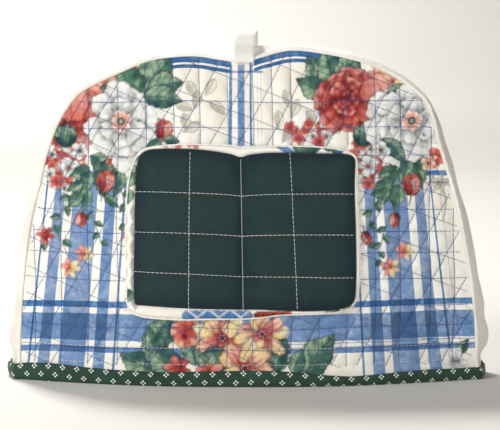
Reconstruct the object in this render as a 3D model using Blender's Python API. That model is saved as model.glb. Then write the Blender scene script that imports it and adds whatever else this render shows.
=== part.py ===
"""Quilted tea cosy that stands open on its hem.

Two domed quilted panels are joined over the top by a soft side strip. A bound hem runs round the
foot, a padded patch with its own rolled binding sits on the front, and a tape loop spans the top.
Metres, +Z up, the front faces -Y.
"""

import math

import bmesh
import bpy
import numpy as np
from mathutils import Vector
from mathutils.geometry import interpolate_bezier

MM = 0.001

# Overall form
STRIP_WIDTH = 40.0 * MM  # of the side strip, from the front seam to the back seam
BULGE = 32.0 * MM  # how far each panel stands out past its seam at the middle of the hem
RUMPLE = 0.8 * MM  # soft unevenness of the panels
RUMPLE_LENGTH = 150.0 * MM
GAP = 0.3 * MM  # between sewn pieces

# Quilted panels
PANEL_FULL = 4.0 * MM  # thickness at the puffs
PANEL_PINCHED = 3.0 * MM  # thickness where the panel is sewn, at its edges
PINCH_SHARE = 0.1  # of the way from the edge to the middle over which the panel fills out
PINCH_RISE = 15.0 * MM
QUILT_DEPTH = 1.6 * MM  # how deep the stitched lines sink
EDGE_SINK = 0.25  # share of that depth at the seam and at the hem
PUFF_SIDE = 13.0 * MM  # a cell at least this wide rises fully between its lines

# Side strip
STRIP_THICKNESS = 2.5 * MM
STRIP_STEPS = 5  # facets across the strip
SEAM_STEPS = 72  # facets along the seam

# Hem binding
HEM_HEIGHT = 11.5 * MM  # on average; HEM_TOP gives it along the hem
HEM_WAVE = 0.25 * MM
HEM_CLOTH = 1.5 * MM  # thickness of the folded binding
HEM_FLOOR = 2.0 * MM  # thickness under the panels' edges
HEM_EASE = 0.5 * MM  # room between the binding and the panels, outside
HEM_INNER_EASE = 0.8 * MM
HEM_STEP = 10.5 * MM  # facet length along the panels
HEM_LEVEL = 6.0 * MM  # height at which the path of the hem is taken
HEM_CORNER = 2.0 * MM  # how far before the seam the binding starts to turn

# Patch on the front
PATCH_SEAT = 0.4 * MM  # lift of its back over the panel
PATCH_EDGE = 2.2 * MM
PATCH_CROWN = 3.2 * MM
PATCH_PUFF = 1.2 * MM
PATCH_STEPS = 64  # facets round its edge
PATCH_SEAM_X = -5.2 * MM
SEAM_REACH = 18.0 * MM  # width over which the patch rises from its middle seam
RIM_REACH = 14.0 * MM
STITCH_REACH = 8.0 * MM

# Hanging loop
LOOP_LEFT, LOOP_RIGHT = -10.6 * MM, 3.4 * MM  # where it is sewn to the front
LOOP_LEAN = 2.8 * MM  # how far to the right it lies from the top onwards
LOOP_THICKNESS = 1.6 * MM

# Seam of the front panel from the left end of the hem over the top to the right end: x, z in mm
DOME = [
    (-162.5, 2.3),
    (-161.0, 43.0),
    (-158.0, 80.0),
    (-153.5, 112.0),
    (-147.3, 136.5),
    (-142.4, 157.0),
    (-135.5, 177.0),
    (-128.0, 191.0),
    (-118.5, 202.5),
    (-105.5, 210.0),
    (-88.0, 218.0),
    (-70.0, 225.3),
    (-50.0, 228.2),
    (-35.0, 228.4),
    (-20.0, 226.0),
    (-4.0, 224.3),
    (8.0, 227.6),
    (22.0, 231.5),
    (33.0, 232.6),
    (50.0, 230.6),
    (70.0, 226.7),
    (88.0, 221.0),
    (104.0, 212.7),
    (116.0, 203.6),
    (124.0, 195.0),
    (128.5, 183.0),
    (132.0, 168.5),
    (138.5, 148.0),
    (145.0, 125.5),
    (151.0, 97.0),
    (156.0, 68.0),
    (159.3, 41.0),
    (160.5, 2.3),
]

# How far the side strip rounds out past the seam: share of the way along the seam, mm
STRIP_BULGE = [
    (0.0000, 5.0),
    (0.0180, 5.0),
    (0.0300, 7.6),
    (0.0400, 8.0),
    (0.0500, 7.5),
    (0.0625, 6.6),
    (0.0750, 5.3),
    (0.0900, 4.3),
    (0.1300, 5.1),
    (0.1700, 4.3),
    (0.2050, 5.2),
    (0.2400, 4.3),
    (0.2700, 4.7),
    (0.2900, 4.0),
    (0.3100, 2.4),
    (0.3300, 1.7),
    (0.3700, 1.3),
    (0.3900, 0.5),
    (0.4100, 1.7),
    (0.4500, 2.4),
    (0.4750, 4.6),
    (0.4900, 6.0),
    (0.5000, 6.2),
    (0.5125, 5.5),
    (0.5250, 3.5),
    (0.5400, 1.8),
    (0.5600, 1.4),
    (0.6000, 2.0),
    (0.6500, 1.5),
    (0.6900, 1.9),
    (0.7100, 2.2),
    (0.7350, 4.3),
    (0.7600, 4.6),
    (0.7900, 4.3),
    (0.8300, 4.9),
    (0.8600, 5.4),
    (0.8900, 6.6),
    (0.9200, 7.2),
    (0.9450, 8.1),
    (0.9600, 9.2),
    (0.9700, 9.6),
    (0.9820, 3.5),
    (1.0000, 3.5),
]

# Height of the hem binding along the hem: x, mm
HEM_TOP = [
    (-168, 7.0),
    (-158, 12.6),
    (-140, 13.0),
    (-105, 12.2),
    (-70, 12.0),
    (-35, 12.6),
    (-7, 14.0),
    (7, 13.2),
    (35, 12.3),
    (56, 10.8),
    (70, 10.4),
    (92, 11.0),
    (106, 11.4),
    (127, 11.0),
    (141, 10.0),
    (156, 9.8),
    (166, 7.0),
]

# Quilting: angle of the stitched lines in degrees, distance between them and place of one of them in mm
QUILT_FAMILIES = [
    (0.0, 19.2, 15.5),
    (90.0, 19.6, -2.0),
    (61.0, 30.0, 4.0),
    (-22.0, 39.0, 26.0),
]
QUILT_DRIFT = 1.6 * MM  # how unevenly the lines are spaced
QUILT_LINES_EACH_WAY = 14
WELD = 1.0 * MM  # crossings closer than this become one point

# Edge of the patch, and the width of the rolled binding outside it: x, z, width in mm
PATCH_OUTLINE = [
    (-79.8, 70.0, 6.2),
    (-79.4, 60.5, 6.4),
    (-78.6, 57.3, 7.2),
    (-75.0, 56.8, 8.6),
    (-66.0, 56.3, 9.2),
    (-47.0, 55.4, 9.1),
    (-27.0, 54.9, 8.0),
    (-6.0, 54.6, 7.6),
    (8.0, 54.5, 6.6),
    (21.5, 53.9, 4.2),
    (37.0, 53.5, 3.4),
    (54.0, 53.6, 2.9),
    (63.0, 54.6, 2.6),
    (69.8, 56.9, 2.4),
    (72.6, 60.5, 2.4),
    (73.5, 67.0, 3.0),
    (73.8, 81.0, 4.0),
    (73.4, 108.0, 3.5),
    (72.8, 133.0, 3.2),
    (72.9, 147.0, 2.6),
    (73.3, 154.3, 2.2),
    (72.5, 158.3, 2.2),
    (69.6, 160.3, 2.5),
    (63.0, 161.1, 3.6),
    (49.0, 161.4, 5.2),
    (33.0, 161.8, 5.5),
    (17.0, 161.9, 5.4),
    (7.0, 161.3, 5.6),
    (0.2, 160.4, 6.8),
    (-4.2, 159.0, 7.6),
    (-6.0, 158.5, 7.8),
    (-7.8, 159.1, 7.6),
    (-12.0, 160.6, 7.0),
    (-18.0, 161.8, 6.4),
    (-28.0, 163.3, 5.1),
    (-40.0, 164.3, 4.1),
    (-54.0, 164.6, 3.4),
    (-65.5, 164.2, 2.6),
    (-71.0, 163.2, 2.4),
    (-75.0, 160.7, 2.5),
    (-76.8, 157.4, 2.9),
    (-78.4, 146.6, 5.2),
    (-79.0, 129.0, 6.8),
    (-79.3, 102.0, 7.3),
]

# Stitched lines of the patch: a point on each in mm, and its angle in degrees
PATCH_STITCHES = [
    (-41.2, 110.0, 89.5),
    (-5.2, 110.0, 91.3),
    (30.0, 110.0, 93.0),
    (-5.5, 133.9, -0.5),
    (-5.5, 106.2, -0.8),
    (-5.5, 78.2, -1.6),
]

# Middle of the tape loop, from the front panel over the top to the back: y, z in mm
LOOP_PATH = [
    (-22.3, 222.6),
    (-22.0, 226.6),
    (-22.2, 230.6),
    (-24.4, 235.2),
    (-25.4, 239.6),
    (-23.4, 243.2),
    (-18.0, 245.0),
    (0.0, 246.2),
    (18.0, 245.4),
    (23.2, 243.4),
    (24.8, 239.6),
    (23.8, 235.2),
    (22.2, 230.6),
    (22.0, 226.6),
    (22.3, 222.6),
]

FRONT, BACK = -1.0, 1.0


def smooth_path(points, cyclic, per_span=12):
    """Points along a smooth curve through the given 2-D points."""
    count = len(points)
    spans = count if cyclic else count - 1

    def at(i):
        return np.array(points[i % count] if cyclic else points[min(max(i, 0), count - 1)])

    path = []
    for i in range(spans):
        before, start, end, after = at(i - 1), at(i), at(i + 1), at(i + 2)
        handle_out = start + (end - before) / 6.0
        handle_in = end - (after - start) / 6.0
        knots = [Vector((*p, 0.0)) for p in (start, handle_out, handle_in, end)]
        path += [p.xy for p in interpolate_bezier(*knots, per_span + 1)[:-1]]
    if not cyclic:
        path.append(Vector(points[-1]))
    return np.array(path, float)


def evenly(path, steps, cyclic):
    """The path cut into equal steps by its length."""
    if cyclic:
        path = np.vstack([path, path[:1]])
    lengths = np.concatenate([[0.0], np.cumsum(np.linalg.norm(np.diff(path, axis=0), axis=1))])
    wanted = np.linspace(0.0, lengths[-1], steps + 1)
    if cyclic:
        wanted = wanted[:-1]
    return np.column_stack([np.interp(wanted, lengths, path[:, k]) for k in range(2)])


def outward_normals(path, cyclic):
    """Unit normals to the left of the direction of travel."""
    if cyclic:
        along = np.roll(path, -1, axis=0) - np.roll(path, 1, axis=0)
    else:
        along = np.gradient(path, axis=0)
    normals = np.column_stack([-along[:, 1], along[:, 0]])
    return normals / np.linalg.norm(normals, axis=1)[:, None]


SEAM = evenly(smooth_path(np.array(DOME) * MM, cyclic=False), SEAM_STEPS, cyclic=False)
SEAM_NORMALS = outward_normals(SEAM, cyclic=False)
SEAM_FINE = evenly(smooth_path(np.array(DOME) * MM, cyclic=False), 600, cyclic=False)
SEAM_ANGLES = np.arctan2(SEAM_FINE[:, 1], SEAM_FINE[:, 0])[::-1]
SEAM_RADII = np.linalg.norm(SEAM_FINE, axis=1)[::-1]


def edge_share(x, z):
    """0 at the middle of the hem, 1 at the seam."""
    return math.hypot(x, z) / np.interp(math.atan2(z, x), SEAM_ANGLES, SEAM_RADII)


def stand_out(side, x, z):
    """Distance of a panel's outer face from the middle plane."""
    fill = max(0.0, 1.0 - edge_share(x, z) ** 2)
    wave = math.sin(2 * math.pi * x / RUMPLE_LENGTH + 1.3 * side) * math.cos(math.pi * z / RUMPLE_LENGTH)
    return STRIP_WIDTH / 2 + BULGE * fill + RUMPLE * wave * fill


def on_panel(side, x, z, lift):
    """The point over (x, z) on a panel's outer face, moved outwards by lift."""
    step = 1.0 * MM
    slope_x = (stand_out(side, x + step, z) - stand_out(side, x - step, z)) / (2 * step)
    slope_z = (stand_out(side, x, z + step) - stand_out(side, x, z - step)) / (2 * step)
    normal = Vector((-slope_x, side, -slope_z)).normalized()
    return Vector((x, side * stand_out(side, x, z), z)) + normal * lift


def fullness(x, z):
    """0 where the panel is pinched, at the seam and at the hem, and 1 further in."""
    from_seam = min(1.0, max(0.0, 1.0 - edge_share(x, z)) / PINCH_SHARE)
    from_hem = min(1.0, max(0.0, z - HEM_HEIGHT) / PINCH_RISE)
    return from_seam * from_hem


def quilted_lift(x, z, puff):
    """Stitched lines sink, and puffs rise to the panel's outer face."""
    depth = QUILT_DEPTH * (EDGE_SINK + (1.0 - EDGE_SINK) * fullness(x, z))
    return depth * (puff - 1.0)


def make_material(name, colour, roughness):
    material = bpy.data.materials.new(name)
    material.use_nodes = True
    shader = material.node_tree.nodes["Principled BSDF"]
    shader.inputs["Base Color"].default_value = (*colour, 1.0)
    shader.inputs["Roughness"].default_value = roughness
    shader.inputs["Metallic"].default_value = 0.0
    return material


PRINTED = make_material("printed_cotton", (0.62, 0.66, 0.72), 0.85)
WHITE = make_material("white_cotton", (0.86, 0.84, 0.79), 0.85)
GREEN_DOTTED = make_material("green_dotted_cotton", (0.07, 0.16, 0.10), 0.85)
GREEN = make_material("dark_green_cotton", (0.03, 0.075, 0.065), 0.8)


def add_object(name, bm, material):
    """A scene object of a finished bmesh, facing outwards and smooth."""
    bmesh.ops.triangulate(bm, faces=bm.faces[:])
    bmesh.ops.recalc_face_normals(bm, faces=bm.faces[:])
    mesh = bpy.data.meshes.new(name)
    bm.to_mesh(mesh)
    bm.free()
    mesh.shade_smooth()
    mesh.set_sharp_from_angle(angle=math.radians(40))
    mesh.materials.append(material)
    part = bpy.data.objects.new(name, mesh)
    bpy.context.scene.collection.objects.link(part)
    return part


def loft(name, sections, cyclic, material):
    """A solid through equal closed sections, capped at its ends unless it is cyclic."""
    bm = bmesh.new()
    rings = [[bm.verts.new(point) for point in section] for section in sections]
    pairs = list(zip(rings, rings[1:]))
    if cyclic:
        pairs.append((rings[-1], rings[0]))
    for near, far in pairs:
        for i in range(len(near)):
            j = (i + 1) % len(near)
            bm.faces.new((near[i], near[j], far[j], far[i]))
    if not cyclic:
        bm.faces.new(rings[0])
        bm.faces.new(rings[-1])
    return add_object(name, bm, material)


def family_lines(angle, spacing, place):
    """Points and normals of one family of stitched lines, a little unevenly spaced."""
    turn = math.radians(angle)
    normal = Vector((-math.sin(turn), 0.0, math.cos(turn)))
    lines = []
    for k in range(-QUILT_LINES_EACH_WAY, QUILT_LINES_EACH_WAY + 1):
        drift = QUILT_DRIFT * math.sin(2.4 * k + angle) if k else 0.0
        lines.append((normal * ((place + spacing * k) * MM + drift), normal))
    return lines


def cut_sheet(outline, lines):
    """A flat sheet in the XZ plane, cut into cells along the lines."""
    bm = bmesh.new()
    bm.faces.new([bm.verts.new((x, 0.0, z)) for x, z in outline])
    for point, normal in lines:
        geometry = bm.verts[:] + bm.edges[:] + bm.faces[:]
        bmesh.ops.bisect_plane(bm, geom=geometry, dist=1e-7, plane_co=point, plane_no=normal)
    bmesh.ops.remove_doubles(bm, verts=bm.verts[:], dist=WELD)
    return bm


def padded_sheet(name, side, bm, puffed, outer_lift, inner_lift, material):
    """Gives a cut sheet its thickness on a panel's curve. The lifts are functions of x, z and, outside, the puff."""
    under = bm.verts.layers.int.new("under")
    puff = bm.verts.layers.float.new("puff")
    sheet = bm.faces[:]
    made = bmesh.ops.extrude_face_region(bm, geom=sheet, use_keep_orig=True)
    for item in made["geom"]:
        if isinstance(item, bmesh.types.BMVert):
            item[under] = 1
    if puffed:
        for face in sheet:
            rise = min(1.0, math.sqrt(face.calc_area()) / PUFF_SIDE)
            middle = bmesh.ops.poke(bm, faces=[face])["verts"][0]
            middle[puff] = rise
            middle[under] = 0
    for vert in bm.verts:
        x, z = vert.co.x, vert.co.z
        lift = inner_lift(x, z) if vert[under] else outer_lift(x, z, vert[puff])
        vert.co = on_panel(side, x, z, lift)
    return add_object(name, bm, material)


def build_panel(name, side):
    """A quilted panel, stitched lines sunk and cells puffed between them."""
    lines = [line for row in QUILT_FAMILIES for line in family_lines(*row)]
    bm = cut_sheet(SEAM, lines)
    return padded_sheet(
        name,
        side,
        bm,
        puffed=True,
        outer_lift=quilted_lift,
        inner_lift=lambda x, z: -PANEL_PINCHED - (PANEL_FULL - PANEL_PINCHED) * fullness(x, z),
        material=PRINTED,
    )


def strip_bulge(share):
    table = np.array(STRIP_BULGE)
    return float(np.interp(share, table[:, 0], table[:, 1])) * MM


def strip_section(i):
    """Closed section of the side strip at one step of the seam: inner face, then outer face."""
    (x, z), (nx, nz) = SEAM[i], SEAM_NORMALS[i]
    bulge = strip_bulge(i / SEAM_STEPS)
    across = np.linspace(-1.0, 1.0, STRIP_STEPS + 1)
    inner, outer = [], []
    for t in across:
        out = GAP + bulge * (1.0 - t * t)
        y = t * STRIP_WIDTH / 2
        inner.append(Vector((x + nx * out, y, z + nz * out)))
        out += STRIP_THICKNESS
        outer.append(Vector((x + nx * out, y, z + nz * out)))
    return inner + outer[::-1]


def build_side_strip():
    """The soft strip that joins the panels over the dome."""
    sections = [strip_section(i) for i in range(SEAM_STEPS + 1)]
    return loft("side_strip", sections, cyclic=False, material=WHITE)


def hem_path():
    """Outer line of the cosy's wall just over the floor, anticlockwise seen from above."""
    left = float(np.interp(HEM_LEVEL, SEAM_FINE[:60, 1], SEAM_FINE[:60, 0]))
    right = float(np.interp(HEM_LEVEL, SEAM_FINE[::-1][:60, 1], SEAM_FINE[::-1][:60, 0]))
    left, right = left + HEM_CORNER, right - HEM_CORNER
    xs = np.linspace(left, right, round((right - left) / HEM_STEP) + 1)
    front = [(x, -stand_out(FRONT, x, HEM_LEVEL)) for x in xs]
    back = [(x, stand_out(BACK, x, HEM_LEVEL)) for x in xs[::-1]]
    across = np.linspace(-1.0, 1.0, STRIP_STEPS + 1)
    wall = HEM_CORNER + GAP + STRIP_THICKNESS
    right_end = [(right + wall + strip_bulge(1.0) * (1.0 - t * t), t * STRIP_WIDTH / 2) for t in across]
    left_end = [(left - wall - strip_bulge(0.0) * (1.0 - t * t), -t * STRIP_WIDTH / 2) for t in across]
    return np.array(front + right_end + back + left_end)


def mitred_normals(path):
    """Outward normals of an anticlockwise closed path, lengthened at its corners."""
    along = np.roll(path, -1, axis=0) - path
    along /= np.linalg.norm(along, axis=1)[:, None]
    after = np.column_stack([along[:, 1], -along[:, 0]])
    middle = after + np.roll(after, 1, axis=0)
    return middle * (2.0 / (middle**2).sum(axis=1))[:, None]


def hem_section(point, normal):
    """Closed section of the binding, folded under the wall: outer leaf, channel, inner leaf."""
    wave = math.sin(point[0] / (21 * MM)) + 0.6 * math.sin(point[0] / (8.5 * MM) + point[1] / (30 * MM))
    heights = np.array(HEM_TOP) * MM
    top = float(np.interp(point[0], heights[:, 0], heights[:, 1])) + HEM_WAVE * wave
    out = HEM_EASE + HEM_CLOTH
    inner = -PANEL_PINCHED - HEM_INNER_EASE
    profile = [
        (out - 0.7 * MM, 0.0),
        (out, 1.0 * MM),
        (out + 0.4 * MM, 0.5 * top),
        (out, top - 0.9 * MM),
        (out - 0.7 * MM, top),
        (HEM_EASE, top - 0.3 * MM),
        (HEM_EASE, HEM_FLOOR),
        (inner, HEM_FLOOR),
        (inner, top - 0.6 * MM),
        (inner - HEM_CLOTH, top - 1.0 * MM),
        (inner - HEM_CLOTH, 1.0 * MM),
        (inner - HEM_CLOTH + 0.7 * MM, 0.0),
    ]
    return [Vector((point[0] + normal[0] * n, point[1] + normal[1] * n, z)) for n, z in profile]


def build_hem_binding():
    """The folded strip round the cosy's foot."""
    path = hem_path()
    sections = [hem_section(point, normal) for point, normal in zip(path, mitred_normals(path))]
    return loft("hem_binding", sections, cyclic=True, material=GREEN_DOTTED)


def patch_edges():
    """Matching points round the patch: its own edge and the outer edge of its binding."""
    table = np.array(PATCH_OUTLINE) * MM
    normals = -outward_normals(table[:, :2], cyclic=True)
    outer = table[:, :2] + normals * table[:, 2:]
    inner_path = smooth_path(table[:, :2], cyclic=True)
    outer_path = smooth_path(outer, cyclic=True)
    keep = np.linspace(0, len(inner_path), PATCH_STEPS, endpoint=False).astype(int)
    return inner_path[keep], outer_path[keep]


PATCH_INNER, PATCH_OUTER = patch_edges()


def stitch_lines():
    """Points and normals of the patch's stitched lines."""
    lines = []
    for x, z, angle in PATCH_STITCHES:
        turn = math.radians(angle)
        lines.append((Vector((x * MM, 0.0, z * MM)), Vector((-math.sin(turn), 0.0, math.cos(turn)))))
    return lines


def between_lines(stitches):
    """Lines a third and two thirds of the way between the stitched ones and the patch's edges."""
    low, high = PATCH_INNER.min(axis=0), PATCH_INNER.max(axis=0)
    upright = sorted(point.x for point, _ in stitches[:3])
    level = sorted(point.z for point, _ in stitches[3:])
    lines = []
    for axis, places in ((0, [low[0], *upright, high[0]]), (1, [low[1], *level, high[1]])):
        normal = Vector((1.0, 0.0, 0.0)) if axis == 0 else Vector((0.0, 0.0, 1.0))
        for start, end in zip(places, places[1:]):
            for share in (1 / 3, 2 / 3):
                lines.append((normal * (start + (end - start) * share), normal))
    return lines


def distance_to_edge(x, z):
    """Shortest distance from a point to the patch's edge."""
    start, end = PATCH_INNER, np.roll(PATCH_INNER, -1, axis=0)
    along = end - start
    point = np.array((x, z))
    share = np.clip(((point - start) * along).sum(axis=1) / (along**2).sum(axis=1), 0.0, 1.0)
    return float(np.linalg.norm(start + along * share[:, None] - point, axis=1).min())


def patch_height(x, z, stitches):
    """The patch swells in two halves from its middle seam, and sinks along its stitches."""
    point = Vector((x, 0.0, z))
    nearest = min(abs((point - on_line).dot(normal)) for on_line, normal in stitches)
    rim = math.sqrt(min(1.0, distance_to_edge(x, z) / RIM_REACH))
    seam = math.sqrt(min(1.0, abs(x - PATCH_SEAM_X) / SEAM_REACH))
    stitch = math.sqrt(min(1.0, nearest / STITCH_REACH))
    return PATCH_EDGE + PATCH_CROWN * rim * (0.25 + 0.75 * seam) + PATCH_PUFF * rim * stitch


def build_patch():
    """The padded patch on the front, quilted in a grid."""
    stitches = stitch_lines()
    bm = cut_sheet(PATCH_INNER, stitches + between_lines(stitches))
    return padded_sheet(
        "patch",
        FRONT,
        bm,
        puffed=False,
        outer_lift=lambda x, z, puff: PATCH_SEAT + patch_height(x, z, stitches),
        inner_lift=lambda x, z: PATCH_SEAT,
        material=GREEN,
    )


def build_patch_binding():
    """The rolled strip round the patch."""
    centre = PATCH_INNER.mean(axis=0)
    profile = [(0.0, 0.0), (0.0, 2.4), (0.35, 3.6), (0.75, 3.0), (1.0, 1.2), (1.0, 0.0)]
    sections = []
    for inner, outer in zip(PATCH_INNER, PATCH_OUTER):
        away = (outer - inner) / np.linalg.norm(outer - inner)
        if away @ (inner - centre) < 0:
            away = -away
        start = inner + away * PATCH_SEAT
        section = []
        for share, height in profile:
            x, z = start + (outer - start) * share
            section.append(on_panel(FRONT, x, z, PATCH_SEAT + height * MM))
        sections.append(section)
    return loft("patch_binding", sections, cyclic=True, material=PRINTED)


def build_hanging_loop():
    """The tape that spans the top, its ends flat on the two panels."""
    path = evenly(smooth_path(np.array(LOOP_PATH) * MM, cyclic=False, per_span=6), 26, cyclic=False)
    normals = outward_normals(path, cyclic=False)
    sections = []
    for i, (point, normal) in enumerate(zip(path, normals)):
        lean = LOOP_LEAN * min(1.0, max(0.0, i / len(path) - 0.1) / 0.3)
        left, right = LOOP_LEFT + lean, LOOP_RIGHT + lean
        inner = point - normal * LOOP_THICKNESS / 2
        outer = point + normal * LOOP_THICKNESS / 2
        corners = ((left, inner), (right, inner), (right, outer), (left, outer))
        sections.append([Vector((x, *place)) for x, place in corners])
    return loft("hanging_loop", sections, cyclic=False, material=WHITE)


def centre_on_origin(parts):
    """Moves the whole cosy so that the middle of its footprint is at the origin."""
    corners = np.array([vert.co for part in parts for vert in part.data.vertices])
    middle = (corners.min(axis=0) + corners.max(axis=0)) / 2
    for part in parts:
        for vert in part.data.vertices:
            vert.co.x -= middle[0]
            vert.co.y -= middle[1]


def main():
    for old in list(bpy.data.objects):
        bpy.data.objects.remove(old)
    parts = [
        build_panel("front_panel", FRONT),
        build_panel("back_panel", BACK),
        build_side_strip(),
        build_hem_binding(),
        build_patch(),
        build_patch_binding(),
        build_hanging_loop(),
    ]
    centre_on_origin(parts)


main()
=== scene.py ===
"""Looks of a quilted tea cosy that stands open on its bound hem.

Two quilted panels of printed cotton are joined over the top by a soft white strip. A dotted binding
runs round the foot, a padded dark green patch with a rolled binding sits on the front, and a white
tape loop spans the top. Each sewn piece is a class that works out its surface on a grid and dresses it.

Lengths are in metres where a name says nothing, and in millimetres in the tables and in the print.
"""

import logging
from collections.abc import Callable, Sequence
from dataclasses import dataclass, field
from enum import Enum
from math import atan2, cos, degrees, pi, radians, sin, sqrt

import bpy
import numpy as np
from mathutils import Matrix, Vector

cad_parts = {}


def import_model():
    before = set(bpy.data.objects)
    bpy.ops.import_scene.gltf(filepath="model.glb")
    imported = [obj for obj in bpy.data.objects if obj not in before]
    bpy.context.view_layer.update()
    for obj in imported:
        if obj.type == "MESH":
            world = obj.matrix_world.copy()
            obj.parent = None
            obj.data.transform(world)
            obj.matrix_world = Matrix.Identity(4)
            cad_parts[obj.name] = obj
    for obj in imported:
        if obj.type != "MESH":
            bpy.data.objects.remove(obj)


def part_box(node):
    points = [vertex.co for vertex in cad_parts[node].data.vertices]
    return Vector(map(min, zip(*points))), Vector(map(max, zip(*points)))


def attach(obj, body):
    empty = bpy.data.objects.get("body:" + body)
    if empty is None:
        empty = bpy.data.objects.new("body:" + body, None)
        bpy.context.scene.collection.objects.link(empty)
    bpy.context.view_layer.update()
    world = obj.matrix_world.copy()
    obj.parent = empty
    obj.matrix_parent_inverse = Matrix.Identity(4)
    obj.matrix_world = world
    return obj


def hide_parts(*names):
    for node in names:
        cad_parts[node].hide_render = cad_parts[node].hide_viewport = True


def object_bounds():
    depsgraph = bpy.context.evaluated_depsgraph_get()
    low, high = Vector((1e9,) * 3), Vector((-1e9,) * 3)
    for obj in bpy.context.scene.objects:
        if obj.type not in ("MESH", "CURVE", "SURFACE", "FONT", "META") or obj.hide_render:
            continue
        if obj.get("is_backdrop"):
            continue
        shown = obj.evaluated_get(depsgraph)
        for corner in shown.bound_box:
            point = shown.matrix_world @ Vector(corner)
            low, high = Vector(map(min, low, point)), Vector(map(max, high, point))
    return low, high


log = logging.getLogger("tea_cosy")

MM = 0.001
FRONT, BACK = -1, 1

Array = np.ndarray
Material, Object = bpy.types.Material, bpy.types.Object
Finishes = dict[str, Material]
Points = Sequence[tuple[float, float]]


# Colours


def linear(code: str) -> Array:
    """Linear light of a colour written as six hexadecimal digits.

    Args:
        code: red, green and blue, two digits each.

    Returns:
        Three numbers from 0 to 1.
    """
    seen = np.array([int(code[i : i + 2], 16) for i in (0, 2, 4)]) / 255
    return np.where(seen <= 0.04045, seen / 12.92, ((seen + 0.055) / 1.055) ** 2.4)


class Ink(Enum):
    """The printer's and the dyer's colours."""

    CREAM = "F8F6EE"
    WARM_CREAM = "F5EBD6"
    WHITE = "E8E4D8"
    BLUE = "3E78B4"
    DEEP_BLUE = "28507F"
    PALE_BLUE = "6C88B2"
    THREAD_BLUE = "2F5288"
    SHADOW_GREY = "959D9C"
    SOFT_GREY = "C6CBCC"
    PEARL = "ECEEEA"
    RED = "B4403A"
    WINE = "6B1A22"
    CORAL = "DC7160"
    ROSE = "E99A8C"
    BLUSH = "F2B7A4"
    PEACH = "F6D3AE"
    YELLOW = "F4DC8F"
    FOREST = "2C564C"
    LEAF = "648B72"
    SAGE = "A6BC9C"
    DEEP_TEAL = "214A4C"
    BEIGE_GREY = "A8A596"
    OAT = "D8D2BF"
    TWILL_GREEN = "152930"
    CALICO_GREEN = "1D382A"
    CALICO_DOT = "FAFBF6"

    @property
    def rgb(self) -> Array:
        """The colour in linear light."""
        return linear(self.value)


# Curves and grids


def smooth_path(points: Sequence, cyclic: bool, per_span: int = 16) -> Array:
    """A smooth curve through 2-D points: cubic spans whose tangents join the neighbours.

    Over a span from p to q, with tangents m and n and t from 0 to 1, the curve is
    (2t^3 - 3t^2 + 1) p + (t^3 - 2t^2 + t) m + (3t^2 - 2t^3) q + (t^3 - t^2) n.

    Args:
        points: the points in order.
        cyclic: whether the curve closes on itself.
        per_span: steps between two given points.

    Returns:
        The curve's points, without a repeat of the first one.
    """
    p = np.asarray(points, float)
    padded = np.vstack([p[-1:], p, p[:2]]) if cyclic else np.vstack([p[:1], p, p[-1:]])
    spans = len(padded) - 3
    start, end = padded[1 : spans + 1], padded[2 : spans + 2]
    out = (end - padded[:spans]) / 2
    into = (padded[3 : spans + 3] - start) / 2
    t = (np.arange(per_span) / per_span)[None, :, None]
    curve = (
        (2 * t**3 - 3 * t**2 + 1) * start[:, None]
        + (t**3 - 2 * t**2 + t) * out[:, None]
        + (3 * t**2 - 2 * t**3) * end[:, None]
        + (t**3 - t**2) * into[:, None]
    ).reshape(-1, p.shape[1])
    return curve if cyclic else np.vstack([curve, p[-1:]])


def arc_lengths(path: Array) -> Array:
    """Length along an open path up to each of its points."""
    return np.concatenate([[0], np.cumsum(np.linalg.norm(np.diff(path, axis=0), axis=1))])


def evenly(path: Array, steps: int, cyclic: bool = False) -> Array:
    """The path cut into equal steps by its length.

    Args:
        path: points in order.
        steps: how many steps.
        cyclic: whether the last point joins the first.

    Returns:
        steps points on a cyclic path, and steps + 1 on an open one.
    """
    if cyclic:
        path = np.vstack([path, path[:1]])
    lengths = arc_lengths(path)
    wanted = np.linspace(0, lengths[-1], steps + 1)[: steps if cyclic else steps + 1]
    return np.column_stack([np.interp(wanted, lengths, path[:, k]) for k in range(path.shape[1])])


def left_normals(path: Array, cyclic: bool) -> Array:
    """Unit normals to the left of the direction of travel along a 2-D path."""
    along = np.roll(path, -1, axis=0) - np.roll(path, 1, axis=0) if cyclic else np.gradient(path, axis=0)
    normals = np.column_stack([-along[:, 1], along[:, 0]])
    return normals / np.linalg.norm(normals, axis=1)[:, None]


def coons_grid(bottom: Array, top: Array, left: Array, right: Array) -> Array:
    """A grid between four edges: the blend of the opposite edges less the blend of the corners.

    P(u, v) = (1 - v) bottom + v top + (1 - u) left + u right - the bilinear mix of the corners.

    Args:
        bottom, top: edges from left to right, n points each.
        left, right: edges from bottom to top, m points each.

    Returns:
        Points in m rows and n columns.
    """
    u = np.linspace(0, 1, len(bottom))[None, :, None]
    v = np.linspace(0, 1, len(left))[:, None, None]
    across = (1 - v) * bottom[None] + v * top[None]
    upward = (1 - u) * left[:, None] + u * right[:, None]
    corners = (
        (1 - u) * (1 - v) * bottom[0] + u * (1 - v) * bottom[-1] + (1 - u) * v * top[0] + u * v * top[-1]
    )
    return across + upward - corners


def unit(value: Array) -> Array:
    """The value cut to 0 and 1."""
    return np.clip(value, 0, 1)


def fade(value: Array, low: float, high: float) -> Array:
    """0 up to low, 1 from high, and 3t^2 - 2t^3 between them."""
    t = unit((value - low) / (high - low))
    return t * t * (3 - 2 * t)


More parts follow.
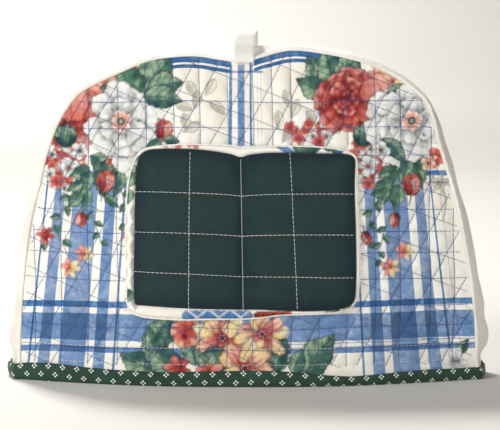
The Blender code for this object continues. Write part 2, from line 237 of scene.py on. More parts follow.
def mottle(x: Array, z: Array, length: float, seed: int) -> Array:
    """Smooth unevenness from -1 to 1: the mean of seven sine waves in random directions.

    Args:
        x, z: coordinates.
        length: usual distance between two crests.
        seed: picks the directions.
    """
    rng = np.random.default_rng(seed)
    total = np.zeros(np.broadcast(x, z).shape)
    for _ in range(7):
        turn, phase = rng.uniform(0, 2 * pi, 2)
        wave = 2 * pi / (length * rng.uniform(0.7, 1.6))
        total += np.sin(wave * (x * cos(turn) + z * sin(turn)) + phase)
    return total / 4


# Meshes


def quads(rows: int, columns: int, wrap_rows: bool = False, wrap_columns: bool = False) -> Array:
    """Faces of a grid whose point (r, c) has the number r * columns + c."""
    r = np.arange(rows if wrap_rows else rows - 1)[:, None]
    c = np.arange(columns if wrap_columns else columns - 1)[None, :]
    r2, c2 = (r + 1) % rows, (c + 1) % columns
    faces = np.stack(
        [r * columns + c, r * columns + c2, r2 * columns + c2, r2 * columns + c], axis=-1
    )
    return faces.reshape(-1, 4)


def faces_outward(mesh: bpy.types.Mesh) -> None:
    """Turns a closed mesh right side out: its signed volume is made positive."""
    points = np.empty(len(mesh.vertices) * 3, np.float32)
    mesh.vertices.foreach_get("co", points)
    points = points.reshape(-1, 3).astype(float)
    mesh.calc_loop_triangles()
    corners = np.empty(len(mesh.loop_triangles) * 3, np.int32)
    mesh.loop_triangles.foreach_get("vertices", corners)
    a, b, c = (points[corners.reshape(-1, 3)[:, k]] for k in range(3))
    if (a * np.cross(b, c)).sum() < 0:
        mesh.flip_normals()


@dataclass
class Piece:
    """One sewn piece while its mesh is put together."""

    name: str
    points: Array
    faces: list[Array]
    face_finish: list[Array] | None = None
    attributes: dict[str, Array] = field(default_factory=dict)

    def build(self, *materials: Material, sharp: float = 50.0, closed: bool = True) -> Object:
        """Makes the object.

        Args:
            materials: what it is made of; face_finish holds a number into these for each face.
            sharp: edges that turn by more than this many degrees stay crisp.
            closed: whether it is a closed body, which is turned right side out.

        Returns:
            The new object, linked to the scene, its place in its mesh.
        """
        mesh = bpy.data.meshes.new(self.name)
        sides = np.concatenate([np.full(len(group), group.shape[1]) for group in self.faces])
        corners = np.concatenate([group.ravel() for group in self.faces])
        mesh.vertices.add(len(self.points))
        mesh.vertices.foreach_set("co", self.points.astype(np.float32).ravel())
        mesh.loops.add(len(corners))
        mesh.loops.foreach_set("vertex_index", corners.astype(np.int32))
        mesh.polygons.add(len(sides))
        mesh.polygons.foreach_set("loop_start", (np.cumsum(sides) - sides).astype(np.int32))
        mesh.polygons.foreach_set("loop_total", sides.astype(np.int32))
        if self.face_finish is not None:
            mesh.polygons.foreach_set("material_index", np.concatenate(self.face_finish).astype(np.int32))
        mesh.update(calc_edges=True)
        mesh.validate()
        for name, values in self.attributes.items():
            kind, key = ("FLOAT_COLOR", "color") if values.ndim == 2 else ("FLOAT", "value")
            made = mesh.attributes.new(name, kind, "POINT")
            made.data.foreach_set(key, values.astype(np.float32).ravel())
        for material in materials:
            mesh.materials.append(material)
        mesh.shade_smooth()
        mesh.set_sharp_from_angle(angle=radians(sharp))
        if closed:
            faces_outward(mesh)
        made = bpy.data.objects.new(self.name, mesh)
        bpy.context.scene.collection.objects.link(made)
        return made


def sweep(name: str, sections: Array, cyclic: bool, **attributes: Array) -> Piece:
    """A closed profile carried along a path.

    Args:
        name: of the piece.
        sections: points in rows, one closed profile a row.
        cyclic: whether the last row joins the first; otherwise both ends are capped.
        attributes: values for each point, in the same rows.

    Returns:
        The piece, not yet turned right side out.
    """
    rows, columns = sections.shape[:2]
    faces = [quads(rows, columns, wrap_rows=cyclic, wrap_columns=True)]
    if not cyclic:
        faces.append(np.arange(columns)[None, ::-1])
        faces.append((rows - 1) * columns + np.arange(columns)[None, :])
    flat = {key: value.reshape(rows * columns, *value.shape[2:]) for key, value in attributes.items()}
    return Piece(name, sections.reshape(-1, 3), faces, attributes=flat)


# Shader maths


def operator(operation: str, reflected: bool = False) -> Callable:
    """A method that adds one Math node; where it is reflected, the other value comes first."""

    def method(self: "Wire", *others: object) -> "Wire":
        """The node's result."""
        return self.graph.maths(operation, *((*others, self) if reflected else (self, *others)))

    return method


class Wire:
    """A socket that takes part in sums: each operator adds its Math node."""

    __add__ = __radd__ = operator("ADD")
    __mul__ = __rmul__ = operator("MULTIPLY")
    __sub__, __rsub__ = operator("SUBTRACT"), operator("SUBTRACT", reflected=True)
    __truediv__, __pow__, __abs__ = operator("DIVIDE"), operator("POWER"), operator("ABSOLUTE")
    sine, larger, smaller = operator("SINE"), operator("MAXIMUM"), operator("MINIMUM")

    def __init__(self, graph: "Graph", socket: bpy.types.NodeSocket) -> None:
        """Wraps a socket of the graph."""
        self.graph = graph
        self.socket = socket

    def folded(self, period: float) -> "Wire":
        """Distance to the nearest whole multiple of period."""
        return self.graph.maths("PINGPONG", self, period / 2)

    def rises(self, low: float, high: float) -> "Wire":
        """0 at low and 1 at high, smooth between them; falls where high is under low."""
        inputs = {"Value": self, "From Min": low, "From Max": high}
        return self.graph.node("ShaderNodeMapRange", {"interpolation_type": "SMOOTHSTEP"}, inputs)

    def between(self, low: float, high: float, soft: float) -> "Wire":
        """1 from low to high, 0 outside them, over an edge of soft."""
        half = (high - low) / 2
        return abs(self - (low + high) / 2).rises(half + soft / 2, half - soft / 2)


class Graph:
    """The nodes of one material."""

    def __init__(self, name: str) -> None:
        """Starts a material with one Principled shader."""
        self.material = bpy.data.materials.new(name)
        self.material.use_nodes = True
        self.nodes = self.material.node_tree.nodes
        self.links = self.material.node_tree.links
        self.shader = self.nodes["Principled BSDF"]

    def node(self, kind: str, settings: dict, inputs: dict, output: int | str = 0) -> Wire:
        """Adds any node.

        Args:
            kind: the node's type.
            settings: its properties, which are set first.
            inputs: a value or a Wire for each named or numbered socket.
            output: which socket to read.

        Returns:
            That output.
        """
        made = self.nodes.new(kind)
        for key, value in settings.items():
            setattr(made, key, value)
        for key, value in inputs.items():
            self.feed(made.inputs[key], value)
        return Wire(self, made.outputs[output])

    def feed(self, socket: bpy.types.NodeSocket, value: object) -> None:
        """Links a Wire to a socket, or sets the socket's own value."""
        if isinstance(value, Wire):
            self.links.new(value.socket, socket)
        elif isinstance(value, np.ndarray):
            socket.default_value = (*value.tolist(), 1)[: len(socket.default_value)]
        else:
            socket.default_value = value

    def maths(self, operation: str, *values: object) -> Wire:
        """One Math node on one to three values."""
        return self.node("ShaderNodeMath", {"operation": operation}, dict(enumerate(values)))

    def mix(self, share: object, first: object, second: object, blend: str = "MIX") -> Wire:
        """Two colours mixed: first where share is 0, second where it is 1."""
        settings = {"data_type": "RGBA", "blend_type": blend}
        return self.node("ShaderNodeMix", settings, {0: share, 6: first, 7: second}, 2)

    def coordinates(self) -> Wire:
        """Object coordinates, in metres."""
        return self.node("ShaderNodeTexCoord", {}, {}, "Object")

    def place(self) -> tuple[Wire, Wire, Wire]:
        """Object coordinates one by one, in millimetres."""
        parts = self.nodes.new("ShaderNodeSeparateXYZ")
        self.feed(parts.inputs[0], self.coordinates())
        return tuple(Wire(self, parts.outputs[k]) * 1000 for k in range(3))

    def attribute(self, name: str, output: str = "Fac") -> Wire:
        """A value of the mesh."""
        return self.node("ShaderNodeAttribute", {"attribute_name": name}, {}, output)

    def noise(self, scale: float, detail: float = 2.0, rough: float = 0.5) -> Wire:
        """Noise in Object coordinates with about scale lumps a metre."""
        inputs = {"Vector": self.coordinates(), "Scale": scale, "Detail": detail, "Roughness": rough}
        return self.node("ShaderNodeTexNoise", {"noise_dimensions": "3D"}, inputs)

    def bump(self, height: Wire, distance: float, strength: float = 1.0) -> None:
        """Fine relief: height times distance in metres, through a Bump node into Normal."""
        inputs = {"Strength": strength, "Distance": distance, "Height": height}
        self.feed(self.shader.inputs["Normal"], self.node("ShaderNodeBump", {}, inputs))

    def cloth(self, colour: object, roughness: object, sheen: float) -> Material:
        """Feeds the shader as matt cloth and hands back the material."""
        for name, value in (
            ("Base Color", colour), ("Roughness", roughness), ("Metallic", 0),
            ("Specular IOR Level", 0.25), ("Sheen Weight", sheen), ("Sheen Roughness", 0.5),
        ):
            self.feed(self.shader.inputs[name], value)
        return self.material


def plain_weave(graph: Graph, across: Wire, up: Wire, pitch: float) -> Wire:
    """Height of a plain weave: sin(pi a / p) sin(pi b / p), raised where warp and weft change places."""
    wave = pi / pitch
    return (across * wave).sine() * (up * wave).sine() * 0.5 + 0.5


# Finishes


@dataclass(frozen=True)
class Stripe:
    """One stripe of the plaid: from low to high in mm, how strong, and where it starts and stops."""

    low: float
    high: float
    strength: float
    starts: float = -200.0
    stops: float = 200.0


# The plaid's uprights, which stop at a height in mm, and the lines at the middle
STRIPE_TOP, THIN_STRIPE_TOP = 149, 141
LINES_LOW, LINES_HIGH = 60, 223
UPRIGHT_STRIPES = [Stripe(*row) for row in (
    (-152.5, -151.1, 1, 0, STRIPE_TOP), (-145.4, -137.2, 0.85, 0, STRIPE_TOP),
    (-131, -112.4, 0.85, 0, STRIPE_TOP), (-106.5, -98.6, 0.90, 0, STRIPE_TOP),
    (-93, -91.4, 0.95, 0, THIN_STRIPE_TOP), (78, 79.5, 0.95, 0, THIN_STRIPE_TOP),
    (85.4, 93.6, 0.85, 0, STRIPE_TOP), (99.3, 117.6, 0.85, 0, STRIPE_TOP),
    (123.8, 132, 0.85, 0, STRIPE_TOP), (138.1, 139.6, 1, 0, STRIPE_TOP),
    (145.9, 146.8, 0.35, 0, STRIPE_TOP), (-15.4, -12.9, 0.95, LINES_LOW, LINES_HIGH),
    (-8.5, -3.1, 0.92, LINES_LOW, LINES_HIGH), (0.9, 2.5, 0.95, LINES_LOW, LINES_HIGH + 2),
    (6.7, 7.4, 0.30, LINES_LOW, LINES_HIGH), (9.4, 10.1, 0.30, LINES_LOW, LINES_HIGH),
)]
LEVEL_STRIPES = (
    Stripe(54.2, 58.6, 1.10),
    Stripe(31.1, 50, 0.88),
    Stripe(22.5, 26.8, 0.92),
    Stripe(29.3, 30, 0.70, starts=15),
    Stripe(144.8, 148.4, 1.05, starts=118),
    Stripe(148.1, 149.3, 0.90, stops=-86),
    Stripe(217, 218.6, 0.80, -16, 10),
)

# Blue bands that follow the seam over the top: from and to, in mm from the seam
RIM_BANDS = ((-0.5, 3.7), (5.1, 7.6))
RIM_SPANS = ((-76, -12), (3.8, 66))


@dataclass(frozen=True)
class PrintedCotton:
    """Cream cotton printed with a soft blue plaid; flowers come from the mesh's own ink attribute."""

    name: str = "printed_cotton"
    plaid: bool = True
    fan: float = 0.00078  # how much the stripes spread downwards, per mm
    fan_right: float = 0.00065
    fan_edge: float = 0.0000125  # what each mm past the edge's start adds on the right
    fan_level: float = 50.0
    edge: float = 110.0
    soft: float = 0.5
    thread_pitch: float = 0.62
    watery: tuple[float, float, float] = (0.50, 0.50, 0.58)  # how deep the pools of ink are

    def striped(self, along: Wire, other: Wire, stripes: Sequence[Stripe]) -> Wire:
        """Ink of one set of stripes: the sum of each one's strength where it runs."""
        return sum(
            along.between(stripe.low, stripe.high, self.soft)
            * other.between(stripe.starts, stripe.stops, 3)
            * stripe.strength
            for stripe in stripes
        )

    def plaid_on(self, graph: Graph, ground: Wire, x: Wire, z: Wire, wash: Wire) -> Wire:
        """The ground with its stripes: uprights fan out downwards, and level ones dip towards the sides.

        An upright's place is x / (1 - (z - 50) fan), and a level one's z - 0.0065 x + 0.0005 (|x| - 110)^2.
        """
        fan = x.rises(-20, 20) * (self.fan_right - self.fan) + self.fan
        fan = fan + (x - self.edge).larger(0) * self.fan_edge
        upright = x / (1 - (z - self.fan_level) * fan) + graph.noise(9, 1) * 1.2 - 0.6
        dip = (abs(x) - self.edge).larger(0)
        level = z - x * 0.0065 + dip * dip * 0.0005 + graph.noise(7, 1) * 1.2 - 0.6
        ups = self.striped(upright, level, UPRIGHT_STRIPES)
        levels = self.striped(level, x, LEVEL_STRIPES)
        seam = graph.attribute("seam_distance")
        bands = sum(seam.between(*band, self.soft) for band in RIM_BANDS)
        bands = bands * sum(x.between(*span, 2) for span in RIM_SPANS) * z.rises(190, 200)
        thin = wash * 0.8 + graph.noise(240, 3, 0.6) * 0.8 + 0.16
        once = ups.larger(levels).larger(bands).smaller(1) * thin.smaller(1)
        twice = ups.smaller(levels).larger(bands * 0.55).smaller(1)
        cloth = graph.mix(once, ground, Ink.BLUE.rgb)
        return graph.mix(twice * 0.9, cloth, Ink.DEEP_BLUE.rgb)

    def material(self) -> Material:
        """Builds the nodes."""
        graph = Graph(self.name)
        x, _, z = graph.place()
        wash = graph.noise(55, 4, 0.65)
        ground = graph.mix(graph.noise(26, 3).rises(0.35, 0.70) * 0.6, Ink.CREAM.rgb, Ink.WARM_CREAM.rgb)
        cloth = self.plaid_on(graph, ground, x, z, wash) if self.plaid else ground
        ink = graph.attribute("print_ink", "Color")
        pools = graph.noise(330, 3, 0.65).rises(0.40, 0.72) * 0.42
        ink = graph.mix(pools, ink, graph.mix(1, ink, np.array(self.watery), "MULTIPLY"))
        cloth = graph.mix(graph.attribute("print_ink", "Alpha"), cloth, ink)
        weave = plain_weave(graph, x, z, self.thread_pitch)
        cloth = graph.mix(weave * 0.10, cloth, graph.mix(1, cloth, Ink.WARM_CREAM.rgb * 0.82, "MULTIPLY"))
        graph.bump(weave * 0.35 + graph.noise(420, 3) * 0.9 + wash * 0.8, 0.0007, 0.55)
        return graph.cloth(cloth, wash * 0.12 + 0.80, 0.12)


@dataclass(frozen=True)
class PlainCotton:
    """White cotton with a fine weave and a little shading where it has been handled."""

    name: str = "white_cotton"
    light: Ink = Ink.WHITE
    shade: Ink = Ink.CREAM
    thread_pitch: float = 0.6

    def material(self) -> Material:
        """Builds the nodes."""
        graph = Graph(self.name)
        x, y, z = graph.place()
        weave = plain_weave(graph, x + y, z, self.thread_pitch)
        patchy = graph.noise(26, 3)
        colour = graph.mix(patchy.rises(0.3, 0.8), self.light.rgb, self.shade.rgb)
        colour = graph.mix(weave * 0.08, colour, self.shade.rgb * 0.8)
        graph.bump(weave * 0.3 + graph.noise(160, 3) * 1.2, 0.0006, 0.5)
        return graph.cloth(colour, patchy * 0.1 + 0.82, 0.1)


@dataclass(frozen=True)
class HerringboneTape:
    """White tape woven in fine ribs across its width."""

    name: str = "white_tape"
    rib: float = 1.1

    def material(self) -> Material:
        """Builds the nodes."""
        graph = Graph(self.name)
        across, along = graph.attribute("across_mm"), graph.attribute("along_mm")
        chevron = (along + across.folded(5)).folded(self.rib) / (self.rib / 2)
        edge = abs(across).rises(7.4, 8.2)
        colour = graph.mix(chevron * 0.18, Ink.CREAM.rgb, Ink.SOFT_GREY.rgb)
        colour = graph.mix(edge * 0.4, colour, Ink.CREAM.rgb * 0.85)
        graph.bump(chevron * (1 - edge) + edge * 0.6 + graph.noise(300) * 0.3, 0.0004, 0.7)
        return graph.cloth(colour, 0.84, 0.1)


@dataclass(frozen=True)
class DottedCotton:
    """Dark green cotton with small diamonds of four white dots in staggered rows."""

    name: str = "green_dotted_cotton"
    pitch: float = 10.75  # between two diamonds in a row
    row: float = 6.2  # between two rows
    reach: float = 1.3  # from a diamond's middle to its dots
    dot: float = 0.60  # radius of a dot
    first_row: float = 2.9  # below the top edge

    def material(self) -> Material:
        """Builds the nodes: each dot is a disc about the nearest of a cell's four spots, on either axis."""
        graph = Graph(self.name)
        along, up = graph.attribute("along_mm"), graph.attribute("around_mm")
        along = along + graph.noise(30) * 0.8
        up = up + graph.noise(22) * 1.2 - self.first_row
        row = graph.maths("ROUND", up / self.row)
        v = up - row * self.row
        shifted = along + graph.maths("PINGPONG", row, 1) * (self.pitch / 2)
        u = shifted - graph.maths("ROUND", shifted / self.pitch) * self.pitch
        side = graph.maths("SQRT", (abs(u) - self.reach) ** 2 + v**2)
        above = graph.maths("SQRT", u**2 + (abs(v) - self.reach) ** 2)
        dots = side.smaller(above).rises(self.dot + 0.12, self.dot - 0.12)
        x, y, z = graph.place()
        weave = plain_weave(graph, x + y, z, 0.6)
        wash = graph.noise(60, 3)
        colour = graph.mix(wash.rises(0.3, 0.75) * 0.5, Ink.CALICO_GREEN.rgb, Ink.FOREST.rgb * 0.8)
        colour = graph.mix(weave * 0.12, colour, Ink.SAGE.rgb * 0.5)
        colour = graph.mix(dots * 0.94, colour, Ink.CALICO_DOT.rgb)
        graph.bump(weave * 0.35 + graph.noise(200, 3) * 0.9, 0.0006, 0.55)
        return graph.cloth(colour, wash * 0.1 + 0.78, 0.12)


@dataclass(frozen=True)
class GreenTwill:
    """Dark green cotton twill with fine slanting ribs, and a paler colour where the padding stands highest.
    """

    name: str = "dark_green_cotton"
    rib: float = 0.9

    def material(self) -> Material:
        """Builds the nodes: ribs are the fold of (x + 0.9 z) at the rib's pitch."""
        graph = Graph(self.name)
        x, _, z = graph.place()
        rib = (x + z * 0.9).folded(self.rib) / (self.rib / 2)
        wash, lint = graph.noise(30, 4), graph.noise(900, 1)
        # Paler colour where the padding swells highest, read from the swell attribute
        paler_where_raised = graph.attribute("swell").rises(0.2, 1)
        colour = graph.mix(wash.rises(0.3, 0.75) * 0.55, Ink.TWILL_GREEN.rgb, Ink.TWILL_GREEN.rgb * 1.35)
        colour = graph.mix(rib * 0.30, colour, Ink.TWILL_GREEN.rgb * 0.62)
        colour = graph.mix(paler_where_raised * 0.13, colour, Ink.LEAF.rgb * 0.6)
        colour = graph.mix(lint.rises(0.72, 0.86) * 0.12, colour, Ink.SAGE.rgb)
        graph.bump(rib * 0.5 + graph.noise(260, 3) * 0.7, 0.0006, 0.55)
        return graph.cloth(colour, wash * 0.12 + 0.76, 0.07)


@dataclass(frozen=True)
class Thread:
    """Sewing thread of one colour, paler where it has faded."""

    name: str
    colour: Ink
    faded: Ink

    def material(self) -> Material:
        """Builds the nodes."""
        graph = Graph(self.name)
        x, _, z = graph.place()
        ply = (x * 1.7 + z * 2.3).folded(0.9)
        colour = graph.mix(graph.noise(24, 3).rises(0.35, 0.8) * 0.6, self.colour.rgb, self.faded.rgb)
        graph.bump(ply, 0.0002, 0.5)
        return graph.cloth(colour, 0.7, 0.1)


# The cosy's shape

# Seam of the front panel from the left end of the hem over the top to the right end: x, z in mm
DOME = (
    (-162.5, 2.3), (-161, 43), (-158, 80), (-153.5, 112), (-147.3, 136.5), (-142.4, 157),
    (-135.5, 177), (-128, 191), (-118.5, 202.5), (-105.5, 210), (-88, 218), (-70, 225.3),
    (-50, 228.2), (-35, 228.4), (-20, 226), (-4, 224.3), (8, 227.6), (22, 231.5),
    (33, 232.6), (50, 230.6), (70, 226.7), (88, 221), (104, 212.7), (116, 203.6),
    (124, 195), (128.5, 183), (132, 168.5), (138.5, 148), (145, 125.5), (151, 97),
    (156, 68), (159.3, 41), (160.5, 2.3),
)
LEFT_SHOULDER, RIGHT_SHOULDER = 8, 23  # rows of the table where the sides end and the top starts


@dataclass
class CosyForm:
    """The curved wall that every piece lies on, in the frame of the solids."""

    strip_width: float = 40 * MM
    bulge: float = 32 * MM
    rumple: float = 0.8 * MM
    rumple_length: float = 150 * MM
    loop_left: float = -10.6 * MM
    seam: Array = field(init=False)
    shift: Array = field(init=False)
    angles: Array = field(init=False)
    radii: Array = field(init=False)

    def __post_init__(self) -> None:
        """Works out the seam, and how far the solids were moved to stand over the origin."""
        self.seam = evenly(smooth_path(np.array(DOME) * MM, cyclic=False), 1200)
        self.angles = np.arctan2(self.seam[:, 1], self.seam[:, 0])[::-1]
        self.radii = np.linalg.norm(self.seam, axis=1)[::-1]
        loop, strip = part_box("hanging_loop"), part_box("side_strip")
        self.shift = np.array([loop[0].x - self.loop_left, (strip[0].y + strip[1].y) / 2, 0])

    def share_at(self, row: int) -> float:
        """How far along the seam a row of the table lies, from 0 to 1."""
        spot = np.array(DOME[row]) * MM
        return float(np.argmin(np.linalg.norm(self.seam - spot, axis=1))) / (len(self.seam) - 1)

    def along_seam(self, start: float, stop: float, count: int) -> Array:
        """count points of the seam between two shares of its length."""
        places = np.linspace(start, stop, count) * (len(self.seam) - 1)
        rows = np.arange(len(self.seam))
        return np.column_stack([np.interp(places, rows, self.seam[:, k]) for k in range(2)])

    def edge_share(self, x: Array, z: Array) -> Array:
        """0 at the middle of the hem, 1 at the seam, by the distance from the middle."""
        return np.hypot(x, z) / np.interp(np.arctan2(z, x), self.angles, self.radii)

    def stand_out(self, side: float, x: Array, z: Array) -> Array:
        """Distance of a panel's outer face from the middle plane.

        Half the strip's width plus bulge times (1 - share^2), and a soft rumple within that.
        """
        fill = np.maximum(0, 1 - self.edge_share(x, z) ** 2)
        wave = np.sin(2 * pi * x / self.rumple_length + 1.3 * side)
        wave = wave * np.cos(pi * z / self.rumple_length)
        return self.strip_width / 2 + self.bulge * fill + self.rumple * wave * fill

    def normals(self, side: float, x: Array, z: Array) -> Array:
        """Unit normals of a panel's outer face, from central differences."""
        step = 1 * MM
        slope_x = (self.stand_out(side, x + step, z) - self.stand_out(side, x - step, z)) / (2 * step)
        slope_z = (self.stand_out(side, x, z + step) - self.stand_out(side, x, z - step)) / (2 * step)
        normal = np.stack([-slope_x, np.full_like(slope_x, side), -slope_z], axis=-1)
        return normal / np.linalg.norm(normal, axis=-1)[..., None]

    def place(self, side: float, x: Array, z: Array, lift: Array | float) -> Array:
        """Points over (x, z) on a panel's outer face, moved outwards by lift."""
        base = np.stack([x, side * self.stand_out(side, x, z), z], axis=-1)
        return base + self.normals(side, x, z) * np.asarray(lift)[..., None] + self.shift


def distance_to_path(x: Array, z: Array, path: Array, cyclic: bool) -> Array:
    """Shortest distance from each point to a 2-D path.

    Each point is dropped on to every segment, and the smallest distance is kept.
    """
    start = path if cyclic else path[:-1]
    end = np.roll(path, -1, axis=0) if cyclic else path[1:]
    best = np.full(x.shape, np.inf)
    for (ax, az), (bx, bz) in zip(start, end):
        dx, dz = bx - ax, bz - az
        share = unit(((x - ax) * dx + (z - az) * dz) / (dx * dx + dz * dz))
        best = np.minimum(best, np.hypot(ax + dx * share - x, az + dz * share - z))
    return best


# The patch's outline, which the front panel needs too

# Edge of the patch, and the width of the rolled binding outside it: x, z, width in mm
PATCH_OUTLINE = (
    (-79.8, 70, 6.2), (-79.4, 60.5, 6.4), (-78.6, 57.3, 7.2), (-75, 56.8, 8.6), (-66, 56.3, 9.2),
    (-47, 55.4, 9.1), (-27, 54.9, 8), (-6, 54.6, 7.6), (8, 54.5, 6.6), (21.5, 53.9, 4.2),
    (37, 53.5, 3.4), (54, 53.6, 2.9), (63, 54.6, 2.6), (69.8, 56.9, 2.4), (72.6, 60.5, 2.4),
    (73.5, 67, 3), (73.8, 81, 4), (73.4, 108, 3.5), (72.8, 133, 3.2), (72.9, 147, 2.6),
    (73.3, 154.3, 2.2), (72.5, 158.3, 2.2), (69.6, 160.3, 2.5), (63, 161.1, 3.6), (49, 161.4, 5.2),
    (33, 161.8, 5.5), (17, 161.9, 5.4), (7, 161.3, 5.6), (0.2, 160.4, 6.8), (-4.2, 159, 7.6),
    (-6, 158.5, 7.8), (-7.8, 159.1, 7.6), (-12, 160.6, 7), (-18, 161.8, 6.4), (-28, 163.3, 5.1),
    (-40, 164.3, 4.1), (-54, 164.6, 3.4), (-65.5, 164.2, 2.6), (-71, 163.2, 2.4), (-75, 160.7, 2.5),
    (-76.8, 157.4, 2.9), (-78.4, 146.6, 5.2), (-79, 129, 6.8), (-79.3, 102, 7.3),
)
PATCH_CORNERS = (2, 13, 21, 39)  # rows at the bottom left, bottom right, top right and top left


@dataclass
class PatchForm:
    """Outline, quilting and height of the padded patch."""

    seat: float = 0.4 * MM
    edge: float = 2.2 * MM
    crown: float = 3.2 * MM
    puff: float = 1.2 * MM
    seam_x: float = -5.2 * MM
    seam_reach: float = 18 * MM
    rim_reach: float = 14 * MM
    stitch_reach: float = 8 * MM
    per_span: int = 16
    inner: Array = field(init=False)
    outer: Array = field(init=False)

    def __post_init__(self) -> None:
        """Works out both edges of the binding, point for point."""
        table = np.array(PATCH_OUTLINE) * MM
        normals = -left_normals(table[:, :2], cyclic=True)
        self.inner = smooth_path(table[:, :2], True, self.per_span)
        self.outer = smooth_path(table[:, :2] + normals * table[:, 2:], True, self.per_span)

    # Upright stitched lines: x in mm at a height of 110 mm, and slope
    uprights: tuple[tuple[float, float], ...] = ((-41.3, 0.008), (-5.2, -0.0185), (30.5, -0.048))
    # Level ones: height in mm at the middle seam, slope, and how far they sag there
    levels: tuple[tuple[float, float, float], ...] = (
        (134.3, -0.011, 2.2), (106.5, -0.014, 1.7), (78.1, -0.029, 1),
    )

    def upright(self, z: Array, row: int) -> Array:
        """x of an upright stitched line at height z."""
        start, slope = self.uprights[row]
        return start * MM + (z - 110 * MM) * slope

    def level(self, x: Array, row: int) -> Array:
        """Height of a level stitched line: it sags towards the middle seam."""
        start, slope, sag = self.levels[row]
        far = x - self.seam_x
        return start * MM + far * slope - sag * MM * np.exp(-np.abs(far) / (20 * MM))

    def lift(self, x: Array, z: Array) -> Array:
        """Height over the panel: two swelling halves, sunk at the middle seam and at each stitched line."""
        rim = np.sqrt(np.minimum(1, distance_to_path(x, z, self.inner[::4], True) / self.rim_reach))
        seam = np.sqrt(np.minimum(1, np.abs(x - self.seam_x) / self.seam_reach))
        nearest = np.full(x.shape, np.inf)
        for row in range(3):
            nearest = np.minimum(nearest, np.abs(x - self.upright(z, row)))
            nearest = np.minimum(nearest, np.abs(z - self.level(x, row)))
        stitch = np.sqrt(np.minimum(1, nearest / self.stitch_reach))
        x_mm, z_mm = x / MM, z / MM
        creases = np.sin((x * 0.8 + z) / MM / 4.6 + 1.5 * mottle(x_mm, z_mm, 60, 4)) * fade(x, -0.03, 0.05)
        creases = creases * fade(mottle(x_mm, z_mm, 45, 9), 0, 0.5) * 1.05 * MM
        height = self.edge + self.crown * rim * (0.25 + 0.75 * seam) + self.puff * rim * stitch
        soft = 0.35 * mottle(x_mm, z_mm, 30, 5)
        soft = soft + 0.22 * mottle((x + z) / MM, (z - 0.3 * x) / MM * 0.5, 11, 12)
        return self.seat + height + (creases + soft * MM) * rim


# Quilting


@dataclass(frozen=True)
class QuiltLines:
    """One family of stitched lines: its slope in degrees, its lines' places in mm, and how it wavers."""

    slope: float
    places: tuple[float, ...]
    depth: float
    waver: float
    waver_length: float
    phase: float

    def across(self, x: Array, z: Array) -> tuple[Array, Array]:
        """Coordinates in mm across and along the lines, the waver taken out."""
        turn = radians(self.slope)
        across = (-sin(turn) * x + cos(turn) * z) / MM
        along = (cos(turn) * x + sin(turn) * z) / MM
        return across + self.waver * np.sin(2 * pi * along / self.waver_length + self.phase), along

    def puff(self, x: Array, z: Array) -> Array:
        """1 midway between two lines, 1 - depth on them: |sin(pi t)|^0.55 of the line count t."""
        across, _ = self.across(x, z)
        count = np.interp(across, self.places, np.arange(len(self.places)))
        return 1 - self.depth + self.depth * np.abs(np.sin(pi * count)) ** 0.55

    def points(self, place: float, step: float, reach: float) -> tuple[Array, Array]:
        """x and z in metres along one line, at every step up to reach on both sides."""
        turn = radians(self.slope)
        along = np.arange(-reach, reach, step)
        across = place - self.waver * np.sin(2 * pi * along / self.waver_length + self.phase)
        x = (cos(turn) * along - sin(turn) * across) * MM
        z = (sin(turn) * along + cos(turn) * across) * MM
        return x, z


def even_places(first: float, pitch: float, count: int, drift: float) -> tuple[float, ...]:
    """Places of count lines, pitch apart, each off by up to drift."""
    return tuple(first + pitch * k + drift * sin(2.4 * k + first) for k in range(count))


LEVEL_LINES = (
    -28, -10, 8, 25.7, 40.4, 54.5, 73.4, 91.7, 106.5, 121.9, 140.9, 159.9, 179.5, 197.8, 236, 256,
)
UPRIGHT_LINES = (
    -192, -172, -152, -133.2, -113.5, -92.4, -72.8, -53.1, -34.8, -15.1, 2.5, 15.8, 29.2, 48.9, 68.5,
    88.2, 105.8, 127.6, 145, 165, 185,
)

QUILTING = (
    QuiltLines(0, LEVEL_LINES, 0.85, 0.7, 130, 0.4),
    QuiltLines(-90, UPRIGHT_LINES, 0.85, 0.6, 110, 2),
    QuiltLines(61, even_places(-190, 18.6, 26, 2), 0.70, 1, 150, 1.1),
    QuiltLines(-22, even_places(-120, 19.6, 22, 1.6), 0.60, 0.8, 170, 0.2),
)


def puffiness(x: Array, z: Array) -> Array:
    """Height of the quilting from 0 on the stitches to about 1 on the puffs: the product of the families."""
    total = np.ones(np.broadcast(x, z).shape)
    for lines in QUILTING:
        total = total * lines.puff(x, z)
    return total


# The print's flowers


@dataclass
class Canvas:
    """Ink on the points of a cloth; x and z are in millimetres."""

    x: Array
    z: Array
    ink: Array = field(init=False)
    cover: Array = field(init=False)

    def __post_init__(self) -> None:
        """Starts bare."""
        self.ink = np.zeros((self.x.size, 3))
        self.cover = np.zeros(self.x.size)

    def near(self, cx: float, cz: float, reach: float) -> Array:
        """Numbers of the points in a square round a place."""
        return np.flatnonzero((np.abs(self.x - cx) < reach) & (np.abs(self.z - cz) < reach))

    def lay(self, points: Array, colour: Array, share: Array) -> None:
        """Prints colour over points: new = colour * share + old * (1 - share)."""
        share = unit(share)
        self.ink[points] = colour * share[:, None] + self.ink[points] * (1 - share)[:, None]
        self.cover[points] = share + self.cover[points] * (1 - share)

    def darken(self, points: Array, share: Array) -> None:
        """Deepens what is already printed, as under the petal above it."""
        self.ink[points] *= (1 - unit(share))[:, None]

    def turned(self, points: Array, cx: float, cz: float, angle: float) -> tuple[Array, Array]:
        """Coordinates along and across a direction, from a place."""
        dx, dz = self.x[points] - cx, self.z[points] - cz
        c, s = cos(angle), sin(angle)
        return dx * c + dz * s, dz * c - dx * s

    def values(self) -> Array:
        """Red, green, blue and cover of each point."""
        return np.column_stack([self.ink / np.maximum(self.cover, 1e-6)[:, None], self.cover])


